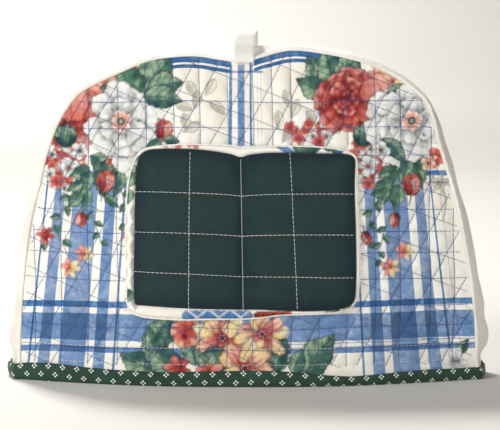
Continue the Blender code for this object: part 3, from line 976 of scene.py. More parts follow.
def blend(low: Array, high: Array, share: Array) -> Array:
    """Colours from low, which is one colour or a row for each share, towards high."""
    return low + (high - low) * unit(share)[:, None]


def off(x: float, z: float, far: float, angle: float) -> tuple[float, float]:
    """The place that lies far from (x, z) in a direction in radians."""
    return x + far * cos(angle), z + far * sin(angle)


@dataclass(frozen=True)
class Petals:
    """Three tones of a flower, from the folds to the rims."""

    dark: Ink
    middle: Ink
    light: Ink


RED = Petals(Ink.WINE, Ink.RED, Ink.CORAL)
DEEP_RED = Petals(Ink.WINE, Ink.RED, Ink.ROSE)
CORAL = Petals(Ink.RED, Ink.CORAL, Ink.ROSE)
SALMON = Petals(Ink.RED, Ink.CORAL, Ink.BLUSH)
PINK = Petals(Ink.CORAL, Ink.ROSE, Ink.BLUSH)
PEACH = Petals(Ink.ROSE, Ink.PEACH, Ink.WARM_CREAM)
YELLOW = Petals(Ink.PEACH, Ink.YELLOW, Ink.WARM_CREAM)
SUN = Petals(Ink.RED, Ink.PEACH, Ink.YELLOW)
DAWN = Petals(Ink.RED, Ink.ROSE, Ink.PEACH)
SOFT_RING = Petals(Ink.ROSE, Ink.BLUSH, Ink.CREAM)
WHITE = Petals(Ink.SHADOW_GREY, Ink.PEARL, Ink.CREAM)
DAMASK = Petals(Ink.SHADOW_GREY, Ink.SOFT_GREY, Ink.WHITE)
GREEN_LEAF = Petals(Ink.FOREST, Ink.LEAF, Ink.SAGE)
TEAL_LEAF = Petals(Ink.DEEP_TEAL, Ink.LEAF, Ink.SAGE)
FAINT_LEAF = Petals(Ink.BEIGE_GREY, Ink.OAT, Ink.WARM_CREAM)


@dataclass
class FlowerPrinter:
    """Prints generic garden flowers, each worked out from a place, a size and a seed."""

    canvas: Canvas

    def petal(self, cx: float, cz: float, angle: float, length: float, width: float, tones: Petals,
              seed: int, strength: float = 1.0, shade: float = 0.0, square: float = 2.0) -> None:
        """One petal from its foot at (cx, cz): an oval with a ruffled rim and a soft shadow round it.

        e = (|(a - 0.5 L) / 0.5 L|^n + |b / W|^n)^(1/n) runs from 0 to 1 at the rim, and n is square.

        Args:
            cx, cz: the foot, in mm.
            angle: direction of the tip, in radians.
            length, width: L, and W as half the width.
            tones: its colours.
            seed: picks the rim's waves.
            strength: how opaque it is.
            shade: how far it lies in its neighbours' shadow, from 0 to 1.
            square: how full its corners are, from 2, an oval.
        """
        canvas = self.canvas
        points = canvas.near(cx, cz, length * 1.25 + 2.5)
        if not len(points):
            return
        a, b = canvas.turned(points, cx, cz, angle)
        half = 0.5 * length
        rim = np.arctan2(b / width, (a - half) / half)
        e = (np.abs((a - half) / half) ** square + np.abs(b / width) ** square) ** (1 / square)
        ruffle = 0.06 * np.sin(3 * rim + seed) + 0.05 * np.sin(6 * rim + 2.1 * seed)
        ruffle = ruffle + 0.03 * np.sin(11 * rim + seed)
        inside = (1 - e * (1 + ruffle)) * min(half, width)
        canvas.darken(points, fade(inside, -2.2, -0.2) * min(0.34, 0.022 * length) * strength)
        outward = unit(a / length)
        folds = 0.16 * np.sin(7.5 * b / width + seed + 2 * outward) * (0.3 + outward)
        lit = outward + folds + 0.10 * mottle(canvas.x[points], canvas.z[points], 5, seed)
        colour = blend(tones.dark.rgb, tones.middle.rgb, lit * 1.9 - 0.10)
        colour = blend(colour, tones.light.rgb, fade(lit, 0.50, 1) * 0.95)
        colour = colour * (1 - 0.45 * shade * (1 - outward))[:, None]
        outline = unit(1.1 - inside / 0.9) * (0.36 + 0.26 * np.cos(2 * rim + seed))
        colour = blend(colour, tones.dark.rgb * 0.8, outline * 1.25)
        canvas.lay(points, colour, unit(inside / 0.6 + 0.5) * strength)

    def ring(self, cx: float, cz: float, count: int, length: float, width: float, tones: Petals, seed: int,
             start: float = 0.0, foot: float = 0.0, shade: float = 0.0, square: float = 2.0) -> None:
        """count petals round a middle, their feet at a distance from it."""
        rng = np.random.default_rng(seed)
        for k in range(count):
            angle = start + 2 * pi * (k + rng.uniform(-0.18, 0.18)) / count
            size = rng.uniform(0.88, 1.12)
            self.petal(*off(cx, cz, foot, angle), angle, length * size, width * size, tones, seed * 7 + k,
                       shade=shade, square=square)

    def disc(self, cx: float, cz: float, radius: float, colour: Ink, strength: float = 1.0) -> None:
        """A round spot."""
        points = self.canvas.near(cx, cz, radius + 1.5)
        if len(points):
            far = np.hypot(self.canvas.x[points] - cx, self.canvas.z[points] - cz)
            share = unit((radius - far) / 0.7 + 0.5) * strength
            self.canvas.lay(points, colour.rgb[None], share)

    def rose(self, cx: float, cz: float, radius: float, outer: Petals, inner: Petals, seed: int) -> None:
        """A full rose: rings of short, broad petals that overlap, shrink and darken inwards."""
        self.ring(cx, cz, 7, 0.60 * radius, 0.44 * radius, outer, seed, 0.3, 0.42 * radius, square=2.4)
        self.disc(cx, cz, 0.55 * radius, inner.dark)
        # Rise of the ring's middle, petals, their length and half width, tones, turn, foot, shade, squareness
        for k, (rise, count, length, width, tones, start, foot, shade, square) in enumerate((
            (0.04, 6, 0.52, 0.40, inner, 0.9, 0.28, 0.4, 2.3),
            (0.12, 5, 0.44, 0.34, outer, 0.1, 0.16, 0.5, 2.3),
            (0.12, 4, 0.34, 0.27, inner, 0.7, 0.07, 0.6, 2.2),
            (0.12, 3, 0.22, 0.17, inner, 0.2, 0, 0.8, 2),
        )):
            self.ring(cx, cz + rise * radius, count, length * radius, width * radius, tones, seed + 1 + k,
                      start, foot * radius, shade, square)
        self.disc(cx, cz + 0.12 * radius, 0.07 * radius, Ink.WINE, 0.8)

    def peony(self, cx: float, cz: float, radius: float, seed: int) -> None:
        """A white open flower of broad ruffled petals, with a green eye in a peach ring and dark stamens."""
        self.ring(cx, cz, 8, 0.68 * radius, 0.36 * radius, WHITE, seed, 0.2, 0.36 * radius, 0.25, 2.5)
        self.disc(cx, cz, 0.55 * radius, Ink.SHADOW_GREY, 0.45)
        self.ring(cx, cz, 6, 0.50 * radius, 0.32 * radius, WHITE, seed + 1, 0.6, 0.18 * radius, 0.25, 2.4)
        rng = np.random.default_rng(seed)
        for k in range(4):
            angle, far = 0.4 + 1.7 * k + rng.uniform(-0.5, 0.5), radius * rng.uniform(0.34, 0.55)
            self.petal(*off(cx, cz, far, angle), angle, 3.4, 0.9, TEAL_LEAF, k, 0.8)
        self.ring(cx, cz, 7, 0.26 * radius, 0.12 * radius, SOFT_RING, seed + 2, 0.3, 0.04 * radius)
        self.disc(cx, cz, 0.11 * radius, Ink.FOREST)
        self.disc(cx, cz, 0.055 * radius, Ink.SAGE, 0.9)

    def blossom(self, cx: float, cz: float, radius: float, tones: Petals, seed: int,
                eye: Ink = Ink.WINE) -> None:
        """A small flower of five round petals."""
        self.ring(cx, cz, 5, radius, radius * 0.46, tones, seed, seed * 0.7, 0.1 * radius)
        self.disc(cx, cz, radius * 0.22, eye, 0.9)

    def star(self, cx: float, cz: float, radius: float, tones: Petals, other: Petals, seed: int) -> None:
        """A flower of narrow petals, one side of another colour."""
        rng = np.random.default_rng(seed)
        for k in range(6):
            angle = seed + 2 * pi * (k + rng.uniform(-0.15, 0.15)) / 6
            self.petal(cx, cz, angle, radius, radius * 0.26, other if cos(angle) > 0.2 else tones, seed + k)
        self.disc(cx, cz, radius * 0.15, Ink.RED, 0.9)

    def daisy(self, cx: float, cz: float, radius: float, seed: int) -> None:
        """A large daisy: pink, peach and cream petals in turn round a dark eye with pale specks."""
        self.disc(cx, cz, 0.5 * radius, Ink.RED, 0.9)
        for k in range(9):
            angle = 2 * pi * k * 4 / 9 + 0.13 * sin(5 * k + seed)
            size = 1 + 0.1 * sin(3 * k + seed)
            self.petal(*off(cx, cz, 0.12 * radius, angle), angle, radius * 0.95 * size, radius * 0.27,
                       (DAWN, SUN, YELLOW)[(k + seed) % 3], seed + k, square=2.2)
        self.disc(cx, cz, radius * 0.24, Ink.RED)
        self.disc(cx, cz, radius * 0.17, Ink.WINE)
        for k in range(6):
            self.disc(*off(cx, cz, radius * 0.12, k), 0.5, Ink.SOFT_GREY, 0.9)

    def leaf(self, cx: float, cz: float, angle: float, length: float, width: float, seed: int,
             tones: Petals = GREEN_LEAF, lobes: float = 0.0, strength: float = 1.0) -> None:
        """A leaf with small teeth: its half width is W sin(pi a^0.8) (1 + lobes |sin 2.5 pi a|)."""
        canvas = self.canvas
        points = canvas.near(cx, cz, length + 2.5)
        if not len(points):
            return
        a, b = canvas.turned(points, cx, cz, radians(angle))
        a = a / length
        b = b - 0.05 * length * np.sin(pi * unit(a))
        teeth = 1 + 0.08 * np.abs(np.sin(9 * pi * a)) + lobes * (np.abs(np.sin(2.5 * pi * a)) - 0.6)
        half = width * np.sin(pi * unit(a) ** 0.8) * teeth
        inside = np.where((a > 0) & (a < 1), half - np.abs(b), -1)
        canvas.darken(points, fade(inside, -0.99, 0) * (inside > -1) * 0.25 * strength)
        veins = np.abs((a * 5.5 - 1.5 * np.abs(b) / width + 0.3 * seed) % 1 - 0.5)
        light = 0.52 + 0.26 * np.sign(b) * unit(np.abs(b) / width * 3)
        light = light + 0.30 * mottle(canvas.x[points], canvas.z[points], 8, seed)
        colour = blend(tones.dark.rgb, tones.middle.rgb, light * 1.5)
        colour = blend(colour, tones.light.rgb, fade(light, 0.45, 0.95) * 0.9)
        colour = blend(colour, tones.dark.rgb, fade(veins, 0.36, 0.5) * 0.75 * unit(inside))
        colour = blend(colour, tones.dark.rgb, unit(1 - np.abs(b) / 0.8) * 0.8)
        colour = blend(colour, tones.dark.rgb * 0.75, unit(1.3 - inside / 0.9) * 0.85)
        canvas.lay(points, colour, unit(inside / 0.6 + 0.5) * strength)

    def bud(self, cx: float, cz: float, angle: float, length: float, seed: int) -> None:
        """A closed rose between two sepals on a short stalk: a red side, a pink one and a light fold."""
        turn = radians(angle)
        self.stem([off(cx, cz, -0.45 * length, turn), (cx, cz)], 1.1)
        for side in (52, -52):
            self.leaf(cx, cz, angle + side, length * 0.55, length * 0.13, seed + side + 60)
        self.petal(cx, cz, turn, length, length * 0.42, RED, seed)
        self.petal(cx, cz, turn - 0.30, length * 0.88, length * 0.24, PINK, seed + 1)
        self.petal(cx, cz, turn - 0.05, length * 0.70, length * 0.12, WHITE, seed + 2, 0.7)
        self.petal(cx, cz, turn + 0.26, length * 0.80, length * 0.15, RED, seed + 3)

    def green_bud(self, cx: float, cz: float, radius: float, seed: int) -> None:
        """A round bud wrapped in five green leaves."""
        self.disc(cx, cz, 0.9 * radius, Ink.FOREST)
        for k, angle in enumerate((15, 160, 45, 130, 88)):
            turn = radians(angle)
            foot = off(cx, cz, -0.7 * radius, turn)
            self.petal(*foot, turn, 1.6 * radius, 0.36 * radius, TEAL_LEAF, seed + k)

    def stem(self, points: Points, width: float, tone: Ink = Ink.LEAF) -> None:
        """A thin stalk along a smooth line."""
        path = smooth_path(points, False, 6)
        low, high = path.min(axis=0) - 2, path.max(axis=0) + 2
        x, z = self.canvas.x, self.canvas.z
        near = np.flatnonzero((x > low[0]) & (x < high[0]) & (z > low[1]) & (z < high[1]))
        if len(near):
            far = distance_to_path(x[near], z[near], path, False)
            share = unit((width / 2 - far) / 0.7 + 0.5)
            self.canvas.lay(near, tone.rgb[None], share * 0.9)

    def cluster(self, cx: float, cz: float, wide: float, tall: float, count: int, seed: int) -> None:
        """Many small blossoms: two in three coral, the others white with a dark eye."""
        rng = np.random.default_rng(seed)
        for k in range(count):
            far, turn = sqrt((k + 0.5) / count), k * 2.4 + seed
            x = cx + wide * far * cos(turn) + rng.uniform(-1, 1)
            z = cz + tall * far * sin(turn) + rng.uniform(-1, 1)
            tones, eye = (WHITE, Ink.WINE) if k % 3 == 2 else (CORAL, Ink.RED)
            self.blossom(x, z, rng.uniform(3.4, 4.9), tones, seed + k, eye)

    def spray(self, points: Points, leaf_length: float, seed: int) -> None:
        """A stalk with leaves on both sides."""
        self.stem(points, 0.9)
        path = evenly(smooth_path(points, False), max(2, int(len(points) * 1.6)))
        for k, ((ax, az), (bx, bz)) in enumerate(zip(path[:-1], path[1:])):
            angle = degrees(atan2(bz - az, bx - ax)) + (48 if k % 2 else -48)
            self.leaf(bx, bz, angle, leaf_length * (1 - 0.06 * k), leaf_length * 0.26, seed + k)


# Short, as it heads every row of the plan
P = FlowerPrinter


def leaves(rows: Sequence[tuple], slim: float, seed: int, tones: Petals, lobes: float = 0.3) -> list[tuple]:
    """Rows of the plan for leaves of x, z, angle and length; slim is half the width over the length."""
    return [(P.leaf, *row, row[3] * slim, row[3] + seed, tones, lobes) for row in rows]


# The arrangement on both panels, the lowest layer first: what is printed, and what its method takes
FLOWER_PLAN = [
    # Faint grey leaves on the cream between the bunches
    *((P.leaf, *row, 13 + k % 3, 3.4, k + 50, FAINT_LEAF, 0, 0.75) for k, row in enumerate((
        (-44, 212, -60), (-36, 206, -100), (-28, 198, -40), (-46, 190, -80), (-24, 214, -120),
        (-34, 184, -150), (-52, 196, -20), (24, 206, -70), (34, 200, -110), (40, 192, -60),
        (20, 192, -90), (30, 182, -120),
    ))),
    # Daisies and large leaves at the middle of the hem
    *leaves((
        (-70, 20, 62, 34), (-62, 10, 158, 32), (-60, 14, 112, 30), (-44, 10, 150, 34), (-36, 14, 104, 26),
        (-14, 12, 140, 34), (17, 8, 82, 36), (38, 6, 54, 38), (31, 8, 70, 20),
    ), 0.29, 30, TEAL_LEAF, 0.16),
    (P.star, -50, 12, 10, CORAL, RED, 7),
    (P.ring, -44, 38, 5, 11, 6.5, Petals(Ink.RED, Ink.CORAL, Ink.PEACH), 14, 0.5),
    (P.disc, -45, 35, 2.2, Ink.WINE, 0.9), (P.star, -27, 10, 11, CORAL, PINK, 8),
    (P.daisy, -19, 34, 18, 61), (P.daisy, 9, 37, 17, 65),
    (P.leaf, -16, 24, 188, 20, 6, 33, TEAL_LEAF, 0.16), (P.daisy, -3, 13, 18, 69),
    (P.leaf, 150, 18, 64, 13, 3.6, 31, TEAL_LEAF), (P.ring, 146, 13, 6, 10, 2.6, WHITE, 3),
    # On the left the rose cut by the seam, and the leaves and small flowers round it
    (P.star, -80, 218, 8, PINK, YELLOW, 80), (P.star, -90, 213, 9, PINK, YELLOW, 90),
    (P.star, -100, 209, 8, PINK, YELLOW, 100), (P.rose, -120, 192, 24, PINK, SALMON, 31),
    (P.petal, -134, 178, 0.2, 26, 7, RED, 32),
    *((P.petal, -127 + 7 * k, 184, radians(angle), 26, 6, PINK, 33 + k)
      for k, angle in enumerate((64, 88, 48))),
    (P.leaf, -74, 203, 50, 31, 13.5, 5, TEAL_LEAF, 0.22), (P.leaf, -71, 205, 14, 26, 9, 6, TEAL_LEAF, 0.22),
    (P.leaf, -75, 201, -6, 29, 8, 7, TEAL_LEAF, 0.14), (P.leaf, -74, 204, 138, 26, 10, 8, GREEN_LEAF, 0.25),
    (P.leaf, -88, 208, 184, 17, 4.5, 9, TEAL_LEAF),
    (P.cluster, -129, 154, 14, 18, 30, 5), (P.green_bud, -129, 173, 9, 8),
    (P.blossom, -119, 163, 5.5, WHITE, 41), (P.blossom, -127, 151, 6.5, WHITE, 42, Ink.RED),
    (P.blossom, -136, 141, 5, CORAL, 43, Ink.RED),
    # What trails down the left side: sprays, rose buds and small stars
    (P.spray, [(-122, 138), (-131, 122), (-139, 108), (-146, 98)], 9, 70),
    (P.spray, [(-96, 146), (-88, 132), (-86, 118), (-87, 106)], 9, 90),
    (P.spray, [(-112, 128), (-108, 112), (-104, 100)], 8, 93),
    *leaves([(-112, 160, -35, 22), (-108, 156, -62, 20), (-98, 158, 250, 20)], 0.27, 50, TEAL_LEAF),
    *leaves([(-94, 152, 284, 17), (-112, 152, 205, 16)], 0.27, 50, GREEN_LEAF),
    *leaves([(-112, 150, 252, 19)], 0.27, 50, TEAL_LEAF),
    *leaves((
        (-106, 150, 275, 16), (-117, 142, 212, 14), (-114, 138, 262, 17), (-106, 142, 300, 15),
        (-101, 132, 320, 13), (-90, 150, 262, 16), (-118, 135, 230, 16),
    ), 0.27, 50, GREEN_LEAF),
    (P.bud, -102, 135, 78, 15, 44), (P.stem, [(-116, 138), (-114, 128), (-118, 117)], 0.9),
    (P.bud, -118, 120, -95, 10, 47), (P.stem, [(-138, 108), (-132, 98), (-128, 88), (-126, 84)], 0.8),
    (P.leaf, -132, 100, -30, 9, 2.6, 71), (P.star, -144, 103, 7, CORAL, RED, 2),
    (P.star, -116, 91, 7, PINK, YELLOW, 3), (P.star, -126, 81, 7.5, PINK, YELLOW, 4),
    (P.blossom, -85, 104, 4, CORAL, 12),
    # The left white flower with what lies round its foot
    (P.cluster, -88, 158, 14, 5, 7, 9),
    *((P.petal, *off(-89, 182, 12, radians(angle)), radians(angle), 21, 10, WHITE, angle + 90, 1, 0, 2.5)
      for angle in (-12, -52, -84)),
    (P.peony, -90, 184, 25, 11), (P.bud, -61, 172, 78, 14, 40),
    (P.leaf, -62, 171, 205, 12, 3.6, 41), (P.leaf, -60, 171, -5, 12, 3.6, 42),
    # On the right the red rose, and the leaves and small flowers round it
    (P.star, 91, 216, 9, PEACH, YELLOW, 91), (P.star, 101, 211, 9, PEACH, YELLOW, 101),
    (P.star, 111, 203, 7, PEACH, YELLOW, 111),
    (P.leaf, 62, 206, 134, 32, 12, 15, TEAL_LEAF, 0.22), (P.leaf, 60, 210, 104, 26, 10, 16, TEAL_LEAF, 0.28),
    (P.leaf, 57, 203, 156, 27, 8, 17, GREEN_LEAF, 0.2), (P.leaf, 62, 211, 48, 26, 8.5, 18, TEAL_LEAF, 0.25),
    (P.cluster, 44, 177, 19, 8, 12, 25), (P.cluster, 84, 157, 15, 17, 24, 21),
    (P.leaf, 96, 203, 8, 20, 4.5, 19, TEAL_LEAF), (P.petal, 82, 206, radians(24), 15, 9, PINK, 36),
    (P.petal, 84, 196, radians(-12), 12, 9, SALMON, 37), (P.rose, 69, 198, 22, DEEP_RED, RED, 35),
    (P.petal, 78, 204, radians(6), 14, 8, PINK, 38, 1, 0.6),
    (P.petal, 76, 194, radians(-32), 13, 7, SALMON, 39, 1, 0.6), (P.green_bud, 80, 174, 8.5, 18),
    # What trails down the right side
    *leaves((
        (108, 162, -20, 18), (112, 158, 250, 18), (120, 158, 262, 19), (104, 152, 200, 15),
        (106, 150, 235, 20), (100, 144, 215, 17), (112, 148, 292, 16), (104, 140, 262, 18),
        (96, 138, 245, 15), (118, 150, 284, 14),
    ), 0.30, 70, GREEN_LEAF),
    (P.bud, 113, 132, 82, 15, 45), (P.stem, [(108, 138), (105, 128), (103, 118)], 0.9),
    (P.bud, 102, 120, -92, 10, 48), (P.spray, [(98, 140), (88, 126), (84, 112), (83, 100)], 9, 75),
    (P.bud, 81, 107, -75, 9, 49), (P.spray, [(98, 116), (93, 102), (91, 92), (94, 82)], 8, 85),
    (P.star, 109, 93, 7, PINK, YELLOW, 5), (P.star, 99, 82, 7.5, PINK, YELLOW, 6),
    *((P.leaf, 135, 137 + k, 40 + 47 * k, 11, 1.8, k, FAINT_LEAF, 0, 0.7) for k in range(7)),
    (P.stem, [(134, 140), (139, 128), (137, 114)], 0.9, Ink.SHADOW_GREY),
    # The white flower at the right seam, with what lies round its foot
    *((P.petal, *off(112, 183, 12, radians(angle)), radians(angle), 20, 10, WHITE, angle, 1, 0, 2.5)
      for angle in (152, 196, 236)),
    (P.peony, 114, 184, 25, 17), (P.leaf, 93, 172, -46, 25, 5.5, 13, TEAL_LEAF),
    (P.blossom, 92, 164, 6, WHITE, 43), (P.blossom, 83, 153, 6.5, WHITE, 44, Ink.RED),
    (P.blossom, 131, 158, 6.5, CORAL, 46, Ink.PEACH), (P.blossom, 126, 154, 5, PEACH, 45),
]


# Stitches


@dataclass(frozen=True)
class StitchRow:
    """How one thread is sewn: stitch length, gap and radius, in metres."""

    length: float = 2.9 * MM
    gap: float = 0.06 * MM
    radius: float = 0.23 * MM
    dip: float = 0.8  # how far a stitch's ends sink, in radii

    def strands(self, middles: Array, tangents: Array, normals: Array) -> Piece:
        """One short strand for each stitch: four rings of four points, its ends dipping into the cloth.

        A ring at share a from -1 to 1 lies at middle + a L/2 tangent + r (1 - dip a^4) normal,
        and its width shrinks to 0.6 at the ends.
        """
        a = np.array([-1, -0.45, 0.45, 1])
        turns = np.array([0.25, 0.75, 1.25, 1.75]) * pi
        side = np.cross(tangents, normals)
        line = middles[:, None] + a[None, :, None] * tangents[:, None] * self.length / 2
        line = line + ((1 - self.dip * a**4) * self.radius)[None, :, None] * normals[:, None]
        wide = (self.radius * (1 - 0.4 * a**4))[None, :, None, None]
        ring = (
            np.cos(turns)[None, None, :, None] * side[:, None, None]
            + np.sin(turns)[None, None, :, None] * normals[:, None, None]
        )
        points = line[:, :, None] + ring * wide
        points = line[:, :, None] + ring * wide
        first = (np.arange(len(middles)) * 16)[:, None]
        rings = (first[:, None] + quads(4, 4, wrap_columns=True)[None]).reshape(-1, 4)
        ends = [first + np.arange(3, -1, -1), first + np.arange(12, 16)]
        return Piece("", points.reshape(-1, 3), [rings, *ends])

    def along(self, x: Array, z: Array) -> tuple[Array, ...]:
        """Places of the stitches along a line of x and z, and places a little ahead of them."""
        path = np.column_stack([x, z])
        lengths = arc_lengths(path)
        pitch = self.length + self.gap
        spots = np.arange(pitch / 2, lengths[-1] - pitch / 2, pitch)
        return tuple(np.interp(spots + ahead, lengths, path[:, k]) for ahead in (0, 0.4 * MM) for k in (0, 1))


Rule = Callable[[Array, Array], Array]  # what is worked out for each x and z


def sewn(name: str, row: StitchRow, lines: list[tuple[Array, Array]], surface: Rule, keep: Rule,
         thread: Material) -> Object:
    """Sews lines of stitches on a surface.

    Args:
        name: of the piece.
        row: the kind of stitch.
        lines: x and z of each line, in metres.
        surface: gives points for x and z.
        keep: true where a stitch stays.
        thread: its material.

    Returns:
        The joined mesh of all the stitches.
    """
    spots = [row.along(x, z) for x, z in lines]
    x, z, ahead_x, ahead_z = (np.concatenate([spot[k] for spot in spots]) for k in range(4))
    good = keep(x, z)
    x, z, ahead_x, ahead_z = x[good], z[good], ahead_x[good], ahead_z[good]
    middle = surface(x, z)
    tangent = surface(ahead_x, ahead_z) - middle
    tangent /= np.linalg.norm(tangent, axis=1)[:, None]
    step = 0.5 * MM
    across = surface(x + step, z) - surface(x - step, z)
    up = surface(x, z + step) - surface(x, z - step)
    normal = np.cross(across, up)
    normal *= np.sign((normal * (middle - np.array([0, 0, 0.1]))).sum(axis=1))[:, None]
    normal -= tangent * (normal * tangent).sum(axis=1)[:, None]
    normal /= np.linalg.norm(normal, axis=1)[:, None]
    piece = row.strands(middle, tangent, normal)
    piece.name = name
    log.info("%s: %d stitches", name, len(middle))
    return piece.build(thread, sharp=80)


def shallow(lift: Rule, x: Array, z: Array) -> Array:
    """Lift that a thread lies at: the outer face's, its grooves as shallow as between two grid points."""
    reach = 0.4 * MM
    around = [lift(x + dx * reach, z + dz * reach) for dx in (-1, 1) for dz in (-1, 1)]
    return np.maximum(lift(x, z), sum(around) / 4)


# The sewn pieces


@dataclass
class QuiltedPanel:
    """One of the two domed panels."""

    name: str
    side: float
    form: CosyForm
    columns: int
    rows: int
    coarse: int  # an inner cell is this many outer ones wide
    depth: float = 2.9 * MM
    proud: float = 0.5 * MM
    thickness: float = 4.0 * MM
    pinched: float = 3.0 * MM
    bowl: float = 0.9 * MM
    patch: PatchForm | None = None
    hem: float = 11 * MM
    topstitched: tuple[float, float] = (26.4, 15.2)  # heights of the white rows, in mm

    def flat_grid(self) -> Array:
        """x and z over the whole panel, between its hem, its two sides and its top."""
        left, right = self.form.share_at(LEFT_SHOULDER), self.form.share_at(RIGHT_SHOULDER)
        sides = self.form.along_seam(0, left, self.rows), self.form.along_seam(1, right, self.rows)
        top = self.form.along_seam(left, right, self.columns)
        bottom = np.linspace(self.form.seam[0], self.form.seam[-1], self.columns)
        return coons_grid(bottom, top, *sides)

    def fullness(self, x: Array, z: Array) -> Array:
        """0 where the panel is pinched, at the seam and at the hem, and 1 further in."""
        from_seam = unit((1 - self.form.edge_share(x, z)) / 0.08)
        from_hem = unit((z - self.hem) / (14 * MM))
        return np.sqrt(from_seam) * np.sqrt(from_hem)

    def lift(self, x: Array, z: Array) -> Array:
        """Outer face over the wall: the quilting between -depth and proud, and slow hollows."""
        full = self.fullness(x, z)
        puffs = (self.depth + self.proud) * puffiness(x, z) - self.depth
        slow = self.bowl * mottle(x / MM, z / MM, 85, 14 if self.side < 0 else 15)
        fine = 0.36 * MM * mottle(x / MM, z / MM, 7, 3) * puffiness(x, z)
        return (puffs + slow + fine) * (0.18 + 0.82 * full)

    def surface(self, x: Array, z: Array) -> Array:
        """Points of the outer face."""
        return self.form.place(self.side, x, z, self.lift(x, z))

    def sewn_surface(self, x: Array, z: Array) -> Array:
        """Points that a thread lies on."""
        return self.form.place(self.side, x, z, shallow(self.lift, x, z))

    def hidden(self, grid: Array) -> tuple[slice, slice] | None:
        """Rows and columns of the grid that the patch covers all over, in whole coarse cells."""
        if self.patch is None:
            return None
        low, high = self.patch.inner.min(axis=0) + 9 * MM, self.patch.inner.max(axis=0) - 9 * MM
        inside = ((grid > low) & (grid < high)).all(axis=-1)
        rows = np.flatnonzero(inside[:, self.columns // 2])
        columns = np.flatnonzero(inside[(rows[0] + rows[-1]) // 2])
        cut = [-(-part[0] // self.coarse) * self.coarse for part in (rows, columns)]
        end = [part[-1] // self.coarse * self.coarse for part in (rows, columns)]
        return slice(cut[0], end[0]), slice(cut[1], end[1])

    def outer_faces(self, hole: tuple[slice, slice] | None) -> list[Array]:
        """Fine cells all over, but coarse ones behind the patch, joined edge to edge."""
        fine = quads(self.rows, self.columns)
        if hole is None:
            return [fine]
        k, wide = self.coarse, self.columns
        r, c = fine[:, 0] // wide, fine[:, 0] % wide
        covered = (r >= hole[0].start) & (r < hole[0].stop) & (c >= hole[1].start) & (c < hole[1].stop)
        rows, columns = (np.arange(part.start, part.stop, k) for part in hole)
        groups: dict[int, list[list[int]]] = {}
        for r0 in rows:
            for c0 in columns:
                low = range(c0, c0 + k) if r0 == rows[0] else [c0]
                right = range(r0, r0 + k) if c0 == columns[-1] else [r0]
                high = range(c0 + k, c0, -1) if r0 == rows[-1] else [c0 + k]
                left = range(r0 + k, r0, -1) if c0 == columns[0] else [r0 + k]
                loop = [r0 * wide + c for c in low] + [r * wide + c0 + k for r in right]
                loop += [(r0 + k) * wide + c for c in high] + [r * wide + c0 for r in left]
                groups.setdefault(len(loop), []).append(loop)
        return [fine[~covered], *map(np.array, groups.values())]

    def build(self, finishes: Finishes) -> Object:
        """Makes the panel: outer face, plain inner face, and the rim between them."""
        grid = self.flat_grid()
        x, z = grid[..., 0], grid[..., 1]
        outer = self.surface(x, z)
        back = grid[:: self.coarse, :: self.coarse]
        full = self.fullness(back[..., 0], back[..., 1])
        depth = self.pinched + (self.thickness - self.pinched) * full
        inner = self.form.place(self.side, back[..., 0], back[..., 1], -depth)
        count = self.rows * self.columns
        inside = quads(*full.shape)[:, ::-1] + count
        faces = [*self.outer_faces(self.hidden(grid)), inside, *self.rim(*full.shape, count)]
        finish = [np.full(len(group), float(group is inside)) for group in faces]
        points = np.vstack([outer.reshape(-1, 3), inner.reshape(-1, 3)])
        piece = Piece(self.name, points, faces, finish, self.print_values(x, z, full.size))
        return piece.build(finishes["print"], finishes["white"], sharp=62)

    def rim(self, rows: int, columns: int, count: int) -> list[Array]:
        """Faces that close the four edges: k outer edges to one inner edge."""
        k, wide, tall = self.coarse, self.columns, self.rows

        def strip(outer: Array, inner: Array) -> Array:
            """One face for each inner edge."""
            n = len(inner) - 1
            near = np.stack([outer[np.arange(n) * k + j] for j in range(k + 1)], axis=-1)
            return np.column_stack([near[:, ::-1], inner[:-1], inner[1:]])

        fine_r, fine_c = np.arange(tall), np.arange(wide)
        far_r, far_c = count + np.arange(rows) * columns, count + np.arange(columns)
        bottom, top = strip(fine_c, far_c), strip((tall - 1) * wide + fine_c, far_r[-1] + np.arange(columns))
        left, right = strip(fine_r * wide, far_r), strip(fine_r * wide + wide - 1, far_r + columns - 1)
        return [bottom, top[:, ::-1], left[:, ::-1], right]

    def print_values(self, x: Array, z: Array, spare: int) -> dict[str, Array]:
        """Ink of the flowers and the distance to the seam, for each point."""
        canvas = Canvas(x.ravel() / MM, z.ravel() / MM)
        printer = FlowerPrinter(canvas)
        for shape, *values in FLOWER_PLAN:
            shape(printer, *values)
        seam = distance_to_path(x.ravel(), z.ravel(), self.form.seam[::12], False) / MM
        return {
            "print_ink": np.vstack([canvas.values(), np.zeros((spare, 4))]),
            "seam_distance": np.concatenate([seam, np.zeros(spare)]),
        }

    def keep_stitch(self, x: Array, z: Array) -> Array:
        """Stitches stay inside the seam, over the hem and clear of the patch."""
        good = (self.form.edge_share(x, z) < 0.992) & (z > self.hem + 2 * MM)
        if self.patch is not None:
            low, high = self.patch.outer.min(axis=0) + 2 * MM, self.patch.outer.max(axis=0) - 2 * MM
            good &= ~((x > low[0]) & (x < high[0]) & (z > low[1]) & (z < high[1]))
        return good

    def sew(self, thread: Material, white: Material) -> list[Object]:
        """Sews the quilting in blue, and two rows along the hem in white."""
        lines = [lines.points(place, 1, 330) for lines in QUILTING for place in lines.places]
        x = np.linspace(self.form.seam[0, 0], self.form.seam[-1, 0], 500)
        rows = [(x, np.full_like(x, height * MM)) for height in self.topstitched]
        topstitch = StitchRow(2.6 * MM, 0.6 * MM, 0.19 * MM, 1.5)
        where = self.sewn_surface, self.keep_stitch
        return [
            sewn(f"{self.name}_quilting_thread", StitchRow(), lines, *where, thread),
            sewn(f"{self.name}_topstitch", topstitch, rows, *where, white),
        ]

